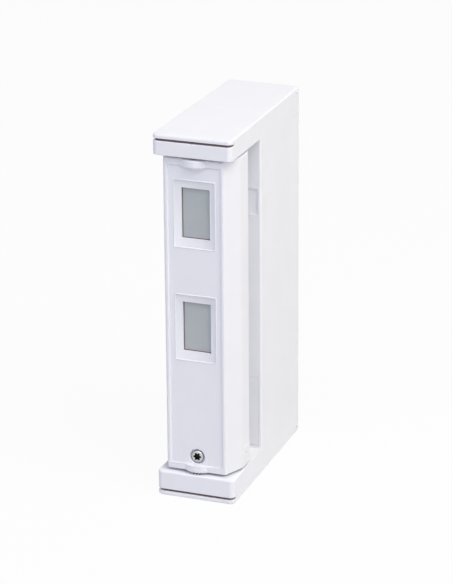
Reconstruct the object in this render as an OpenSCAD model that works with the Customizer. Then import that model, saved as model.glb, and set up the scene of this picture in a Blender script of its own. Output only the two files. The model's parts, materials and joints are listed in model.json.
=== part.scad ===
// Outdoor PIR motion detector, slim wall type: a sensor head with two lens windows turns between
// two arms in front of a deep battery box.
// Millimetres. The front faces -Y, +Z is up, and the origin is the middle of the wall face.

/* [Unit] */
// Overall height
unit_h = 175; // [165:1:190]
// Depth of the back box, from its seam to the wall plate
box_d = 36.2; // [35:0.1:48]
// Width across the arms at the front
front_w = 37.9; // [37:0.1:41]
// How much narrower the unit is at the wall, for the draft of the mouldings
taper = 2.2; // [0.4:0.1:2.4]
// Plan radius of the outer corners
corner_r = 2.4; // [1:0.1:3.4]

/* [Housing] */
// Wall of the housing mouldings
wall = 2; // [1.6:0.1:2.2]
// Thickness of the top and bottom cap plates
cap_t = 2.1; // [1.2:0.1:2.4]
// Height of the shadow groove under a cap plate
groove_h = 1.2; // [1:0.1:2.2]
// Depth of the shadow groove
groove_in = 1.4; // [1:0.1:1.6]
// Height of the lower arm
arm_low_h = 8.9; // [7.8:0.1:9.6]
// Height of the upper arm
arm_up_h = 6.5; // [5.4:0.1:7]
// Clearance between the turning head and the spine
head_air = 4; // [1.5:0.05:4.6]
// Wall of the spine behind the head
spine_wall = 2.4; // [2.2:0.1:2.8]
// Depth of the spine, from its front face to the seam with the back box
spine_l = 9.4; // [9.4:0.1:12]
// Depth of the wall plate
plate_d = 10.2; // [8:0.1:11]
// Thickness of the base of the wall plate
plate_base = 2.5; // [2:0.1:3]
// Height of the hook at the top of the back box, which hangs over the wall plate
hook_h = 9.1; // [8:0.1:12]

/* [Wall fixing] */
// Distance between the two wall screw slots
slot_pitch = 83.5; // [80:0.5:86]
// Width of a wall screw slot
slot_w = 4.6; // [4:0.1:5.2]
// Length of a wall screw slot, end to end
slot_l = 9; // [7:0.5:10]
// Width of the wiring window in the wall plate
entry_w = 15; // [12:0.5:18]
// Height of the wiring window
entry_h = 22; // [19:0.5:24]

/* [Head] */
// Gap between the head and each arm
head_gap = 1.2; // [1:0.1:2.2]
// How far the sides of the head stand in from the arm sides
head_side_in = 0.3; // [0.2:0.05:0.8]
// Width of the chamfers at the sides of the head
chamfer_w = 4.5; // [3.8:0.1:5]
// Distance of the flat front behind the arm fronts
head_set_in = 2.2; // [0.4:0.1:2.4]
// Distance from the arm fronts to the rear edge of the chamfers
chamfer_d = 12.6; // [11.8:0.1:13.2]
// Distance from the arm fronts to the joint between cover and chassis
parting_d = 13.4; // [13.2:0.1:15]
// Distance from the arm fronts to the swivel axis
swivel_d = 15.5; // [15.4:0.1:16.4]
// How much the radius of the round back is over half the head's width
back_extra = 1; // [0.6:0.1:1.8]
// How far the round bulges stand out of the end rims
bulge_out = 2.1; // [0.8:0.1:2.1]
// Radius of the round bulges
bulge_r = 9; // [7:0.1:12]
// Height of the end rims of the cover
rim_h = 3.2; // [2.4:0.1:3.4]
// Wall of the head mouldings
head_t = 1.8; // [1.5:0.1:2]
// Height of the separate foot of the head
foot_h = 10; // [9.6:0.1:11]
// Swivel either way from straight ahead, in degrees
swivel_limit = 90; // [45:5:90]

/* [Windows] */
// Width of the rims beside the recessed face panel
panel_rim = 1.5; // [0.8:0.1:1.8]
// Depth of the face panel behind the rims
panel_in = 0.7; // [0.4:0.1:1]
// Outer width of a window bevel
window_w = 19.6; // [18.6:0.1:20.4]
// Outer height of a window bevel
window_h = 31.7; // [30:0.1:34]
// Width of a window bevel at its sides
bevel_w = 2.95; // [2.4:0.05:3.6]
// Width of a window bevel at its top and bottom
bevel_h = 3.9; // [3:0.1:4.6]
// Depth of the window bevel
bevel_in = 1.6; // [1.2:0.1:1.8]
// Straight step round a window in front of its bevel
window_step = 0.35; // [0.2:0.05:0.6]
// Distance from the top of the head to the middle of the upper window
window_drop = 26; // [24:0.1:27]
// Distance between the middles of the two windows
window_pitch = 54.3; // [52:0.1:56]
// Thickness of a lens sheet
lens_t = 0.8; // [0.6:0.1:1]

/* [Screws and shafts] */
// Diameter of the cover screw's head
cover_head_d = 5.8; // [5.4:0.1:6.4]
// Diameter of the cover screw's shank
cover_shank_d = 3; // [2.6:0.1:3.2]
// Clearance between the cover screw's boss and the lower shaft
cover_screw_air = 0.45; // [0.3:0.05:1.2]
// Diameter of the upper swivel shaft
upper_shaft_d = 8; // [7:0.1:8.4]
// Outer diameter of the hollow lower swivel shaft
lower_shaft_d = 10; // [9.6:0.1:10.6]
// Bore of the hollow lower swivel shaft
lower_bore_d = 5.2; // [4.8:0.1:5.4]
// Diameter of the lead to the head
lead_d = 3.6; // [3:0.1:3.8]
// Number of click positions in a full turn of the index plate
click_count = 24; // [12:4:36]

/* [Batteries] */
// Diameter of a battery cell
cell_d = 17; // [16:0.1:17.2]
// Length of a battery cell with its pole
cell_l = 34.5; // [33:0.1:34.6]

/* [Hidden] */

// Shared fits and finishes
over = 1;            // overrun of a cut
bite = 0.5;          // depth by which joined shapes of one piece run into each other
fit = 0.06;          // radial clearance of a shaft in its bore
gap = 0.1;           // clearance round a seated piece
air = 0.3;           // clearance of a piece that passes another
arc_steps = 7;       // segments of a rounded plan corner
right_angle = 90;
round_fn = 64;       // fineness of round surfaces

white = "#f3f4f6";
soft_white = "#e9eaee";
dark_rubber = "#4a3f42";
lens_grey = "#b3b7b9";
steel = "#c4c6c8";
brass = "#c9a450";
board_green = "#2f6b46";
black = "#26272a";
lead_grey = "#d9d9d6";

// Levels of the housing
rear_w = front_w - taper;
head_w = front_w - 2 * head_side_in;
head_front_w = head_w - 2 * chamfer_w;
back_r = head_w / 2 + back_extra;
foot_step = 0.2;     // the foot of the head stands this much proud of the chassis
head_reach = max(back_r + foot_step, norm([head_front_w / 2, swivel_d - head_set_in]));
spine_d = swivel_d + head_reach + head_air;
seam_d = spine_d + spine_l;
unit_d = seam_d + box_d + plate_d;
front_y = -unit_d;
spine_y = front_y + spine_d;
seam_y = front_y + seam_d;
plate_y = -plate_d;
bot_z = -unit_h / 2;
top_z = unit_h / 2;
arm_low_z0 = bot_z + cap_t + groove_h;
arm_low_z1 = arm_low_z0 + arm_low_h;
arm_up_z1 = top_z - cap_t - groove_h;
arm_up_z0 = arm_up_z1 - arm_up_h;
arm_low_in = arm_low_z1 - wall;
arm_up_in = arm_up_z0 + wall;
spine_in = spine_y + spine_wall;
arm_side_extra = 0.2;
arm_side = wall + arm_side_extra;
box_in = plate_y - wall;
lug_z0 = arm_up_z1 - hook_h;
plate_z1 = lug_z0 - gap;
spine_edge_r = 1;
inner_r = max(corner_r - wall, 0);
fade_d = 5;          // length over which the groove fades out along a side
seal_t = 0.5;        // thickness of a groove seal
step_in = 0.5;       // depth of the shallow step in the spine
step_drop = 34.2;
step_z1 = top_z - step_drop;
step_h = 12.2;
span_in = 1.1;
half_span = rear_w / 2 - span_in;    // half width of the step and the hatch in the spine

// Levels of the head
head_z0 = arm_low_z1 + head_gap;
head_z1 = arm_up_z0 - head_gap;
face_y = front_y + head_set_in;
chamfer_y = front_y + chamfer_d;
part_y = front_y + parting_d;
swivel_y = front_y + swivel_d;
foot_z = head_z0 + foot_h;
end_t = rim_h + gap; // end walls of the chassis and the foot
collar_rim = 3;
boss_wall = 1.6;
collar_r = lower_shaft_d / 2 + collar_rim;
bulge_y = face_y - bulge_out + bulge_r;
chamfer_slope = chamfer_w / (chamfer_y - face_y);
slant = sqrt(1 + chamfer_slope * chamfer_slope);
cover_in_y = face_y + panel_in + head_t;
well_rim = 0.75;
well_in = 1.8;
well_r = cover_head_d / 2 + well_rim;
well_y = face_y + panel_in + well_in;
column_wall = 3.7;
column_r = cover_shank_d / 2 + column_wall;
ring_floor = 1.3;
ring_deep = 1.2;
ring_r = 3.4;
column_y1 = well_y + ring_floor + ring_deep;
boss_r = cover_shank_d / 2 + boss_wall;
screw_z = head_z0 + end_t + air + cover_screw_air + boss_r;
panel_w = head_front_w - 2 * panel_rim;
lens_w = window_w - 2 * bevel_w;
lens_h = window_h - 2 * bevel_h;
upper_window_z = head_z1 - window_drop;
lower_window_z = upper_window_z - window_pitch;

// Half the width of the housing at a depth
function half_w(y) = front_w / 2 - (front_w - rear_w) / 2 * (y - front_y) / unit_d;

// Points of a quarter round, or one point where the radius is zero
function quarter(x, y, r, start) = r > 0
  ? [for (k = [0:arc_steps]) let (a = start + right_angle * k / arc_steps) [x + r * cos(a), y + r * sin(a)]]
  : [[x, y]];

// Plan of the housing between two depths, inset at the sides
function plan(y0, y1, inset, r0, r1) = concat(
  quarter(-(half_w(y0 + r0) - inset - r0), y0 + r0, r0, 180),
  quarter(half_w(y0 + r0) - inset - r0, y0 + r0, r0, 270),
  quarter(half_w(y1 - r1) - inset - r1, y1 - r1, r1, 0),
  quarter(-(half_w(y1 - r1) - inset - r1), y1 - r1, r1, 90));

module slab(y0, y1, inset, r0, r1, z0, z1) {
  translate([0, 0, z0]) linear_extrude(z1 - z0) polygon(plan(y0, y1, inset, r0, r1));
}

// Upright block centred on x
module block(w, y0, y1, z0, z1, x = 0) {
  translate([x - w / 2, y0, z0]) cube([w, y1 - y0, z1 - z0]);
}

// Rods along each axis
module rod_x(r, x0, x1, y = 0, z = 0) {
  translate([x0, y, z]) rotate([0, 90, 0]) cylinder(r = r, h = x1 - x0, $fn = round_fn);
}
module rod_y(r, y0, y1, x = 0, z = 0) {
  translate([x, y0, z]) rotate([-90, 0, 0]) cylinder(r = r, h = y1 - y0, $fn = round_fn);
}
module rod_z(r, z0, z1, x = 0, y = 0) {
  translate([x, y, z0]) cylinder(r = r, h = z1 - z0, $fn = round_fn);
}
module tube_y(r_out, r_in, y0, y1, x = 0, z = 0) {
  difference() {
    rod_y(r_out, y0, y1, x, z);
    rod_y(r_in, y0 - over, y1 + over, x, z);
  }
}
module tube_z(r_out, r_in, z0, z1, x = 0, y = 0) {
  difference() {
    rod_z(r_out, z0, z1, x, y);
    rod_z(r_in, z0 - over, z1 + over, x, y);
  }
}
module both_sides() {
  children();
  mirror([1, 0, 0]) children();
}

// Pan head screw along +Y or -Y, seated under its head
module pan_screw_y(head_r, head_h, shank_r, length, way = 1) {
  mirror([0, way > 0 ? 0 : 1, 0]) difference() {
    union() {
      rod_y(head_r, -head_h, 0);
      rod_y(shank_r, -bite, length);
    }
    block(head_r, -head_h - over, -head_h * cross_share, -head_r * slot_share, head_r * slot_share);
    block(2 * head_r * slot_share, -head_h - over, -head_h * cross_share, -head_r / 2, head_r / 2);
  }
}
cross_share = 0.5;   // how much of a screw head stays under its cross
slot_share = 0.16;   // half width of a cross arm over the head's radius

// Hatch in the spine
hatch_up = 13.6;
hatch_z0 = bot_z + hatch_up;
hatch_h = 34.7;
hatch_z1 = hatch_z0 + hatch_h;
hatch_t = 1.3;
hatch_side = 6.4;
hatch_hole_w = 2 * (half_span - hatch_side);
hatch_margin = 4.2;
hatch_screw_r = 1;
hatch_screw_head_r = 1.7;
hatch_screw_head_h = 0.9;
hatch_screw_in = 2.2;

// Main board behind the spine
board_t = 1.6;
main_board_stand = 11.4;
main_board_up = 1.9;
main_board_y = spine_in + main_board_stand;
main_board_side = 1;
main_board_w = rear_w - 2 * (wall + main_board_side);
main_board_z0 = hatch_z0 + main_board_up;
main_board_h = 110;
main_post_in = 1.9;
main_post_x = main_board_w / 2 - main_post_in;
main_post_r = 2.2;
main_post_low = 4;
main_post_up = 105;
board_screw_r = 1.05;
board_screw_head_r = 2;
board_screw_head_h = 1.5;
board_screw_l = 6;

// Tongues of the back box that reach into the spine, and the screws through the lower pair
tongue_w = 8;
tongue_x = 8;
tongue_air = 0.6;
tongue_l = spine_l - spine_wall - tongue_air;
tongue_h = 6;
housing_screw_r = 1.5;
housing_head_r = 2.7;
housing_head_h = 1.9;
housing_screw_in = tongue_l / 2;
housing_sink = 2.2;

// Swivel parts
washer_t = head_gap;
flange_rim = 3;
flange_t = 1.5;
flange_r = lower_shaft_d / 2 + flange_rim;
index_t = 1.2;
index_r = 7;
notch_r = 0.45;
clip_t = 0.8;
clip_r = 6;
clip_slot = 5;
shaft_end = 0.8;
index_z1 = head_z1 - end_t;
index_z0 = index_z1 - index_t;
clip_z0 = index_z0 - clip_t;

// Sensor board in the head
sensor_board_back = 4;
sensor_board_side = 3.5;
sensor_board_y = swivel_y + sensor_board_back;
sensor_board_w = head_w - 2 * (head_t + sensor_board_side);
sensor_board_up = 6.3;
sensor_board_down = 12.9;
sensor_board_z0 = foot_z + sensor_board_up;
sensor_board_z1 = head_z1 - sensor_board_down;
sensor_post_side = 3;
sensor_post_x = sensor_board_w / 2 - sensor_post_side;
sensor_post_r = 2.4;
sensor_post_in = 5;
sensor_post_deep = 10;

// Tamper switches
tamper_front_t = 1.2;
tamper_travel = 1.5;
cover_tamper_z = (lower_window_z - window_h / 2 + screw_z + column_r) / 2;

// Battery holder on the rear wall of the back box
cell_r = cell_d / 2;
contact_t = 0.5;
spring_h = 3;
dome_h = 2;
holder_base = 1.6;
holder_wall = 1.2;
holder_end = 1.5;
holder_rise = 13.2;
holder_up = 2;
holder_in_w = cell_d + 2 * gap;
holder_l = 2 * (cell_l + contact_t + holder_end) + spring_h + dome_h;
holder_z0 = arm_low_z0 + wall + holder_up;
holder_z1 = holder_z0 + holder_l;
cell_y = box_in - holder_base - gap - cell_r;
cell_z0 = holder_z0 + holder_end + contact_t + spring_h;

// Wiring window and grommet above the batteries, the wall tamper switch above them
grommet_r = 6;
grommet_flange = 1.5;
grommet_flange_t = 1;
grommet_air = 2.6;
grommet_z = holder_z1 + grommet_air + grommet_r + grommet_flange;
entry_drop = 1;
entry_z = grommet_z - entry_drop;
tamper_up = 18;
tamper_x = 6.5;
wall_tamper_z = grommet_z + tamper_up;

plate_boss_r = 2.6;
plate_boss_side = 0.2;
plate_screw_x = rear_w / 2 - wall - plate_boss_r - plate_boss_side;
plate_screw_z = 50;
plate_screw_r = 1.2;
plate_head_r = 2.2;
plate_head_h = 1.6;
plate_screw_skin = 1.2;

// Screws of the housing and the head share one set of posts
module main_post_places() {
  for (h = [main_post_low, main_post_up])
    both_sides() translate([main_post_x, 0, main_board_z0 + h]) children();
}
module sensor_post_places() {
  for (z = [sensor_board_z0 + sensor_post_in, sensor_board_z1 - sensor_post_in])
    both_sides() translate([sensor_post_x, 0, z]) children();
}
module hatch_screw_places() {
  for (z = [hatch_z0 + hatch_screw_in, hatch_z1 - hatch_screw_in])
    translate([0, 0, z]) children();
}
module plate_screw_places() {
  for (z = [-plate_screw_z, plate_screw_z])
    both_sides() translate([plate_screw_x, 0, z]) children();
}

// Index pips on the lower arm, straight ahead of the swivel
pip_r = 0.35;
pip_in = 0.4;
pip_pitch = 1.5;
pip_d = 2.6;

module front_housing() color(white) {
  difference() {
    union() {
      slab(front_y, seam_y, 0, corner_r, 0, arm_low_z0, arm_low_z1);
      slab(front_y, seam_y, 0, corner_r, 0, arm_up_z0, arm_up_z1);
      slab(spine_y, seam_y, 0, spine_edge_r, 0, arm_low_z0, arm_up_z1);
    }
    slab(front_y + wall, spine_in + bite, arm_side, inner_r, 0, arm_low_z0 - over, arm_low_in);
    slab(front_y + wall, spine_in + bite, arm_side, inner_r, 0, arm_up_in, arm_up_z1 + over);
    slab(spine_in, seam_y + over, wall, 0, 0, arm_low_z0 - over, arm_up_z1 + over);
    rod_z(lower_shaft_d / 2 + gap, arm_low_in - over, arm_low_z1 + over, 0, swivel_y);
    rod_z(upper_shaft_d / 2 + gap, arm_up_z0 - over, arm_up_in + over, 0, swivel_y);
    block(2 * (half_span + gap), spine_y - over, spine_y + hatch_t, hatch_z0, hatch_z1);
    block(hatch_hole_w, spine_y, spine_in + over, hatch_z0 + hatch_margin, hatch_z1 - hatch_margin);
    block(2 * half_span, spine_y - over, spine_y + step_in, step_z1 - step_h, step_z1);
    hatch_screw_places() rod_y(hatch_screw_r + gap / 2, spine_y, spine_in + over);
    for (k = [-1, 0, 1])
      rod_z(pip_r, arm_low_z1 - pip_in, arm_low_z1 + over, k * pip_pitch, front_y + pip_d);
  }
  main_post_places() tube_y(main_post_r, board_screw_r + gap / 2, spine_in - bite, main_board_y);
}

module back_box() color(white) difference() {
  union() {
    slab(seam_y, plate_y, 0, 0, 0, arm_low_z0, arm_up_z1);
    slab(plate_y - wall, 0, 0, 0, corner_r, lug_z0, arm_up_z1);
    for (z = [arm_low_z0, arm_up_z1 - tongue_h])
      both_sides()
        block(tongue_w, seam_y - tongue_l, seam_y + wall, z, z + tongue_h, tongue_x);
    for (x = [-1, 1], z = [radio_z0 + radio_post_in, radio_z1 - radio_post_in])
      translate([x * radio_post_x, 0, z]) radio_post();
  }
  difference() {
    slab(seam_y - over, box_in, wall, 0, 0, arm_low_z0 + wall, arm_up_z1 - wall);
    for (z = [arm_low_z0, arm_up_z1 - tongue_h])
      both_sides()
        block(tongue_w, seam_y - tongue_l, seam_y + wall, z, z + tongue_h, tongue_x);
    for (x = [-1, 1], z = [radio_z0 + radio_post_in, radio_z1 - radio_post_in])
      translate([x * radio_post_x, 0, z]) radio_post();
  }
  slab(plate_y, -wall, wall, 0, inner_r, lug_z0 - over, arm_up_z1 - wall);
  seal_frame(seal_w + 2 * gap, seam_y - over, seam_y + seal_deep);
  rod_y(grommet_r + gap / 2, box_in - over, plate_y + over, 0, grommet_z);
  rod_y(tamper_rod_r(wall_tamper_r) + gap, box_in - over, plate_y + over, tamper_x, wall_tamper_z);
  plate_screw_places() rod_y(plate_screw_r + gap, box_in - over, plate_y + over);
  both_sides() rod_z(housing_screw_r + gap / 2, arm_low_z0 - over, arm_low_z0 + tongue_h + over,
    tongue_x, seam_y - housing_screw_in);
  for (x = [-1, 1], y = [seam_y + peg_in, plate_y - peg_in], z = [arm_low_z0, arm_up_z1])
    rod_z(peg_r + gap / 2, z - wall - over, z + wall + over, x * peg_x, y);
}

// Pegs that hold the rear caps
peg_r = 1.5;
peg_x = 11;
peg_in = 7;

// Seal in the front edge of the back box
seal_w = 0.8;
seal_deep = 1;
seal_edge = 0.6;

module seal_frame(w, y0, y1) {
  edge = seal_edge - (w - seal_w) / 2;
  out_w = 2 * (half_w(seam_y) - edge);
  difference() {
    block(out_w, y0, y1, arm_low_z0 + edge, arm_up_z1 - edge);
    block(out_w - 2 * w, y0 - over, y1 + over, arm_low_z0 + edge + w, arm_up_z1 - edge - w);
  }
}

module box_seal() color(dark_rubber)
  seal_frame(seal_w, seam_y, seam_y + seal_deep - gap / 2);

module wall_plate() color(white) difference() {
  union() {
    difference() {
      slab(plate_y, 0, 0, 0, corner_r, arm_low_z0, plate_z1);
      slab(plate_y - over, -plate_base, wall, 0, 0, arm_low_z0 + wall, plate_z1 - wall);
    }
    plate_screw_places() rod_y(plate_boss_r, plate_y, -plate_base + bite);
  }
  plate_screw_places() rod_y(plate_screw_r + gap / 2, plate_y - over, -plate_screw_skin);
  block(entry_w, -plate_base - over, over, entry_z - entry_h / 2, entry_z + entry_h / 2);
  rod_y(tamper_rod_r(wall_tamper_r) + bite, -plate_base - over, over, tamper_x, wall_tamper_z);
  for (z = [-slot_pitch / 2, slot_pitch / 2]) {
    block(slot_w, -plate_base - over, over, z - slot_l / 2 + slot_w / 2, z + slot_l / 2 - slot_w / 2);
    for (way = [-1, 1])
      rod_y(slot_w / 2, -plate_base - over, over, 0, z + way * (slot_l - slot_w) / 2);
  }
}

// Plan of the band that closes the arm under a front cap plate: inset at the front, flush further back
function front_band(inset) = let (r = corner_r) concat(
  [[-half_w(seam_y), seam_y], [-half_w(front_y + fade_d), front_y + fade_d]],
  quarter(-(half_w(front_y) - inset - r), front_y + inset + r, r, 180),
  quarter(half_w(front_y) - inset - r, front_y + inset + r, r, 270),
  [[half_w(front_y + fade_d), front_y + fade_d], [half_w(seam_y), seam_y]]);

function rear_band(inset) = let (r = corner_r) concat(
  [[half_w(seam_y), seam_y], [half_w(-fade_d), -fade_d]],
  quarter(half_w(0) - inset - r, -inset - r, r, 0),
  quarter(-(half_w(0) - inset - r), -inset - r, r, 90),
  [[-half_w(-fade_d), -fade_d], [-half_w(seam_y), seam_y]]);

// A cap is drawn as the bottom one, its plate down. The top ones are mirrored.
lip_h = 1.4;
lip_t = 1.2;
lip_in = 4;
lip_y0 = front_y + wall + lip_in;
lip_y1 = spine_y - lip_in;

module front_cap() {
  slab(front_y, seam_y, 0, corner_r, 0, bot_z, bot_z + cap_t);
  translate([0, 0, bot_z + cap_t]) linear_extrude(groove_h) polygon(front_band(groove_in));
  intersection() {
    difference() {
      slab(lip_y0, lip_y1, arm_side + gap, 0, 0, arm_low_z0 - bite, arm_low_z0 + lip_h);
      slab(lip_y0 - over, lip_y1 + over, arm_side + gap + lip_t, 0, 0, arm_low_z0 - over,
        arm_low_z0 + lip_h + over);
    }
    slab(lip_y0, lip_y1, 0, 0, 0, arm_low_z0 - bite, arm_low_z0 + lip_h);
  }
}

module rear_cap() {
  slab(seam_y, 0, 0, 0, corner_r, bot_z, bot_z + cap_t);
  translate([0, 0, bot_z + cap_t]) linear_extrude(groove_h) polygon(rear_band(groove_in));
  for (x = [-1, 1], y = [seam_y + peg_in, plate_y - peg_in])
    rod_z(peg_r, arm_low_z0 - bite, arm_low_z0 + wall, x * peg_x, y);
}

module bottom_front_cap() color(white) difference() {
  front_cap();
  both_sides() {
    rod_z(housing_head_r + gap, bot_z - over, bot_z + housing_sink, tongue_x,
      seam_y - housing_screw_in);
    rod_z(housing_screw_r + gap, bot_z, arm_low_z0 + over, tongue_x, seam_y - housing_screw_in);
  }
}
module top_front_cap() color(white) mirror([0, 0, 1]) front_cap();
module bottom_rear_cap() color(white) rear_cap();
module top_rear_cap() color(white) mirror([0, 0, 1]) rear_cap();

// One dark strip lies against the floor of each groove
module groove_strip(front) {
  keep_y = front ? front_y : -(fade_d - corner_r / 2);
  translate([0, 0, bot_z + cap_t]) intersection() {
    linear_extrude(groove_h) difference() {
      polygon(front ? front_band(groove_in - seal_t) : rear_band(groove_in - seal_t));
      polygon(front ? front_band(groove_in) : rear_band(groove_in));
    }
    block(front_w, keep_y, keep_y + fade_d - corner_r / 2, 0, groove_h);
  }
}
module cap_seals() color(dark_rubber)
  for (way = [0, 1]) mirror([0, 0, way]) {
    groove_strip(true);
    groove_strip(false);
  }

module housing_screws() color(steel)
  both_sides() translate([tongue_x, seam_y - housing_screw_in, bot_z + housing_sink])
    rotate([90, 0, 0])
      pan_screw_y(housing_head_r, housing_head_h, housing_screw_r,
        arm_low_z0 + tongue_h - bot_z - housing_sink - gap);

module plate_screws() color(steel)
  plate_screw_places() translate([0, box_in, 0])
    pan_screw_y(plate_head_r, plate_head_h, plate_screw_r, wall + plate_d - plate_screw_skin - bite);

module spine_hatch() color(white) difference() {
  block(2 * half_span, spine_y, spine_y + hatch_t, hatch_z0 + gap, hatch_z1 - gap);
  hatch_screw_places() {
    rod_y(hatch_screw_head_r + gap / 2, spine_y - over, spine_y + hatch_screw_head_h);
    rod_y(hatch_screw_r + gap / 2, spine_y, spine_y + hatch_t + over);
  }
}
module hatch_screws() color(steel)
  hatch_screw_places() translate([0, spine_y + hatch_screw_head_h, 0])
    pan_screw_y(hatch_screw_head_r, hatch_screw_head_h - gap, hatch_screw_r,
      spine_wall - hatch_screw_head_h);

module main_board() color(board_green) difference() {
  block(main_board_w, main_board_y, main_board_y + board_t, main_board_z0,
    main_board_z0 + main_board_h);
  main_post_places() rod_y(board_screw_r + gap, main_board_y - over, main_board_y + board_t + over);
}
module main_board_screws() color(steel)
  main_post_places() translate([0, main_board_y + board_t, 0])
    pan_screw_y(board_screw_head_r, board_screw_head_h, board_screw_r, board_screw_l, -1);

// Terminal block behind the hatch
terminal_ways = 6;
terminal_pitch = 3.5;
terminal_w = 9;
terminal_deep = 10;
terminal_up = 7;
terminal_z0 = main_board_z0 + terminal_up;
terminal_well_r = 1.4;
terminal_well = 3;
terminal_hole = 2.2;
terminal_hole_in = 3;

module terminal_places() {
  for (k = [0:terminal_ways - 1])
    translate([0, main_board_y, terminal_z0 + (k + 1 / 2) * terminal_pitch]) children();
}
module terminal_block() color("#3f8a5b") difference() {
  block(terminal_w, main_board_y - terminal_deep, main_board_y, terminal_z0,
    terminal_z0 + terminal_ways * terminal_pitch);
  terminal_places() {
    rod_y(terminal_well_r, -terminal_deep - over, -terminal_deep + terminal_well);
    translate([terminal_w / 2 - terminal_hole_in, -terminal_hole - terminal_hole_in, -terminal_hole / 2])
      cube([terminal_hole_in + over, terminal_hole, terminal_hole]);
  }
}
module terminal_screws() color(brass)
  terminal_places() difference() {
    rod_y(terminal_well_r - gap / 2, -terminal_deep + terminal_well / 2,
      -terminal_deep + terminal_well);
    block(2 * terminal_well_r, -terminal_deep, -terminal_deep + terminal_well * 2 / 3,
      -terminal_well_r * slot_share, terminal_well_r * slot_share);
  }

// Lead from the head through the hollow shaft and the lower arm to the plug on the main board
lead_r = lead_d / 2;
lead_bend = 3;
lead_z = arm_low_z0 + air + lead_r;
lead_up_in = 3.9;    // from the spine wall to the rising part of the lead
plug_w = 8;
plug_h = 6;
plug_rim = 1.2;
main_plug_up = 0.5;
main_plug_z0 = main_board_z0 + main_plug_up;
lead_up_y = spine_in + lead_up_in;
sensor_plug_up = 2;
sensor_plug_z0 = sensor_board_z0 + sensor_plug_up;

module lead_turn(y, way) {
  translate([0, y, lead_z + lead_bend]) rotate([0, 90, 0]) rotate([0, 0, way > 0 ? -90 : 0])
    rotate_extrude(angle = 90, $fn = round_fn) translate([lead_bend, 0]) circle(lead_r);
}
module head_lead() color(lead_grey) {
  rod_z(lead_r, lead_z + lead_bend, sensor_plug_z0, 0, swivel_y);
  lead_turn(swivel_y + lead_bend, 1);
  rod_y(lead_r, swivel_y + lead_bend, lead_up_y - lead_bend, 0, lead_z);
  lead_turn(lead_up_y - lead_bend, -1);
  rod_z(lead_r, lead_z + lead_bend, main_plug_z0, 0, lead_up_y);
}
module main_plug() color(soft_white)
  block(plug_w, lead_up_y - lead_r - plug_rim, main_board_y, main_plug_z0,
    main_plug_z0 + plug_h);
module sensor_plug() color(soft_white)
  block(plug_w, swivel_y - lead_r - plug_rim, sensor_board_y, sensor_plug_z0,
    sensor_plug_z0 + plug_h);

// Radio board on posts of the back box
radio_up = 10;
radio_down = 6.1;
radio_z0 = wall_tamper_z + radio_up;
radio_z1 = arm_up_z1 - wall - radio_down;
radio_w = 19;
radio_t = 1.2;
radio_stand = 5;
radio_post_x = 7;
radio_post_in = 4;
radio_post_r = 2;
radio_peg_r = 0.9;
radio_y = box_in - radio_stand - radio_t;
shield_w = 14;
shield_share = 0.4;  // height of the shield over that of its board
shield_deep = 3;
shield_h = (radio_z1 - radio_z0) * shield_share;
shield_z0 = (radio_z0 + radio_z1 - shield_h) / 2;

module radio_post() {
  rod_y(radio_post_r, box_in - radio_stand, box_in + bite);
  rod_y(radio_peg_r, radio_y, box_in);
}
module radio_board() color(board_green) difference() {
  block(radio_w, radio_y, radio_y + radio_t, radio_z0, radio_z1);
  for (x = [-1, 1], z = [radio_z0 + radio_post_in, radio_z1 - radio_post_in])
    rod_y(radio_peg_r + gap / 2, radio_y - over, radio_y + radio_t + over, x * radio_post_x, z);
}
module radio_shield() color(steel)
  block(shield_w, radio_y - shield_deep, radio_y, shield_z0, shield_z0 + shield_h);
radio_lead_r = 0.5;
radio_lead_pitch = 2.5;
radio_lead_z = main_board_z0 + main_board_h - radio_lead_r * 2;
module radio_leads() color(black)
  for (k = [-1, 0, 1])
    rod_y(radio_lead_r, main_board_y + board_t, radio_y, k * radio_lead_pitch, radio_lead_z);

spring_foot_r = 4.5;
dome_top_r = 1.8;
cell_pole_r = 3;
cell_pole_h = 1;

module battery_holder() color(black) difference() {
  block(holder_in_w + 2 * holder_wall, box_in - holder_rise, box_in, holder_z0, holder_z1);
  block(holder_in_w, box_in - holder_rise - over, box_in - holder_base, holder_z0 + holder_end,
    holder_z1 - holder_end);
}
module batteries() color("#8f9aa6")
  for (k = [0, 1]) {
    rod_z(cell_r, cell_z0 + k * cell_l + k * gap / 2, cell_z0 + (k + 1) * cell_l - cell_pole_h, 0,
      cell_y);
    rod_z(cell_pole_r, cell_z0 + (k + 1) * cell_l - cell_pole_h - bite, cell_z0 + (k + 1) * cell_l, 0,
      cell_y);
  }
module battery_contacts() color(steel) {
  z0 = holder_z0 + holder_end;
  z1 = holder_z1 - holder_end;
  block(holder_in_w - 2 * gap, box_in - holder_rise, box_in - holder_base, z0, z0 + contact_t);
  translate([0, cell_y, z0 + contact_t - bite / 2])
    cylinder(r1 = spring_foot_r, r2 = cell_pole_r, h = spring_h + bite / 2, $fn = round_fn);
  block(holder_in_w - 2 * gap, box_in - holder_rise, box_in - holder_base, z1 - contact_t, z1);
  translate([0, cell_y, z1 - contact_t - dome_h])
    cylinder(r1 = dome_top_r, r2 = cell_pole_r, h = dome_h + bite / 2, $fn = round_fn);
}
battery_lead_r = 0.7;
module battery_leads() color(black)
  both_sides() rod_y(battery_lead_r, main_board_y + board_t, box_in - holder_rise, cell_r / 2,
    holder_z1 - holder_end / 2);

module cable_grommet() color(dark_rubber) {
  rod_y(grommet_r - gap / 2, box_in - grommet_flange_t, plate_y + grommet_flange_t, 0, grommet_z);
  rod_y(grommet_r + grommet_flange, box_in - grommet_flange_t, box_in, 0, grommet_z);
  rod_y(grommet_r + grommet_flange, plate_y, plate_y + grommet_flange_t, 0, grommet_z);
}

// Tamper switch, drawn with its plunger pointing +Y out of the plane y = 0
wall_tamper_r = 4;
cover_tamper_r = 2.6;
tamper_wall = 1;
rod_share = 0.6;     // radius of a tamper plunger over the radius of its bore
function tamper_rod_r(r) = r * rod_share;
function tamper_deep(r) = 2 * r;

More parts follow.
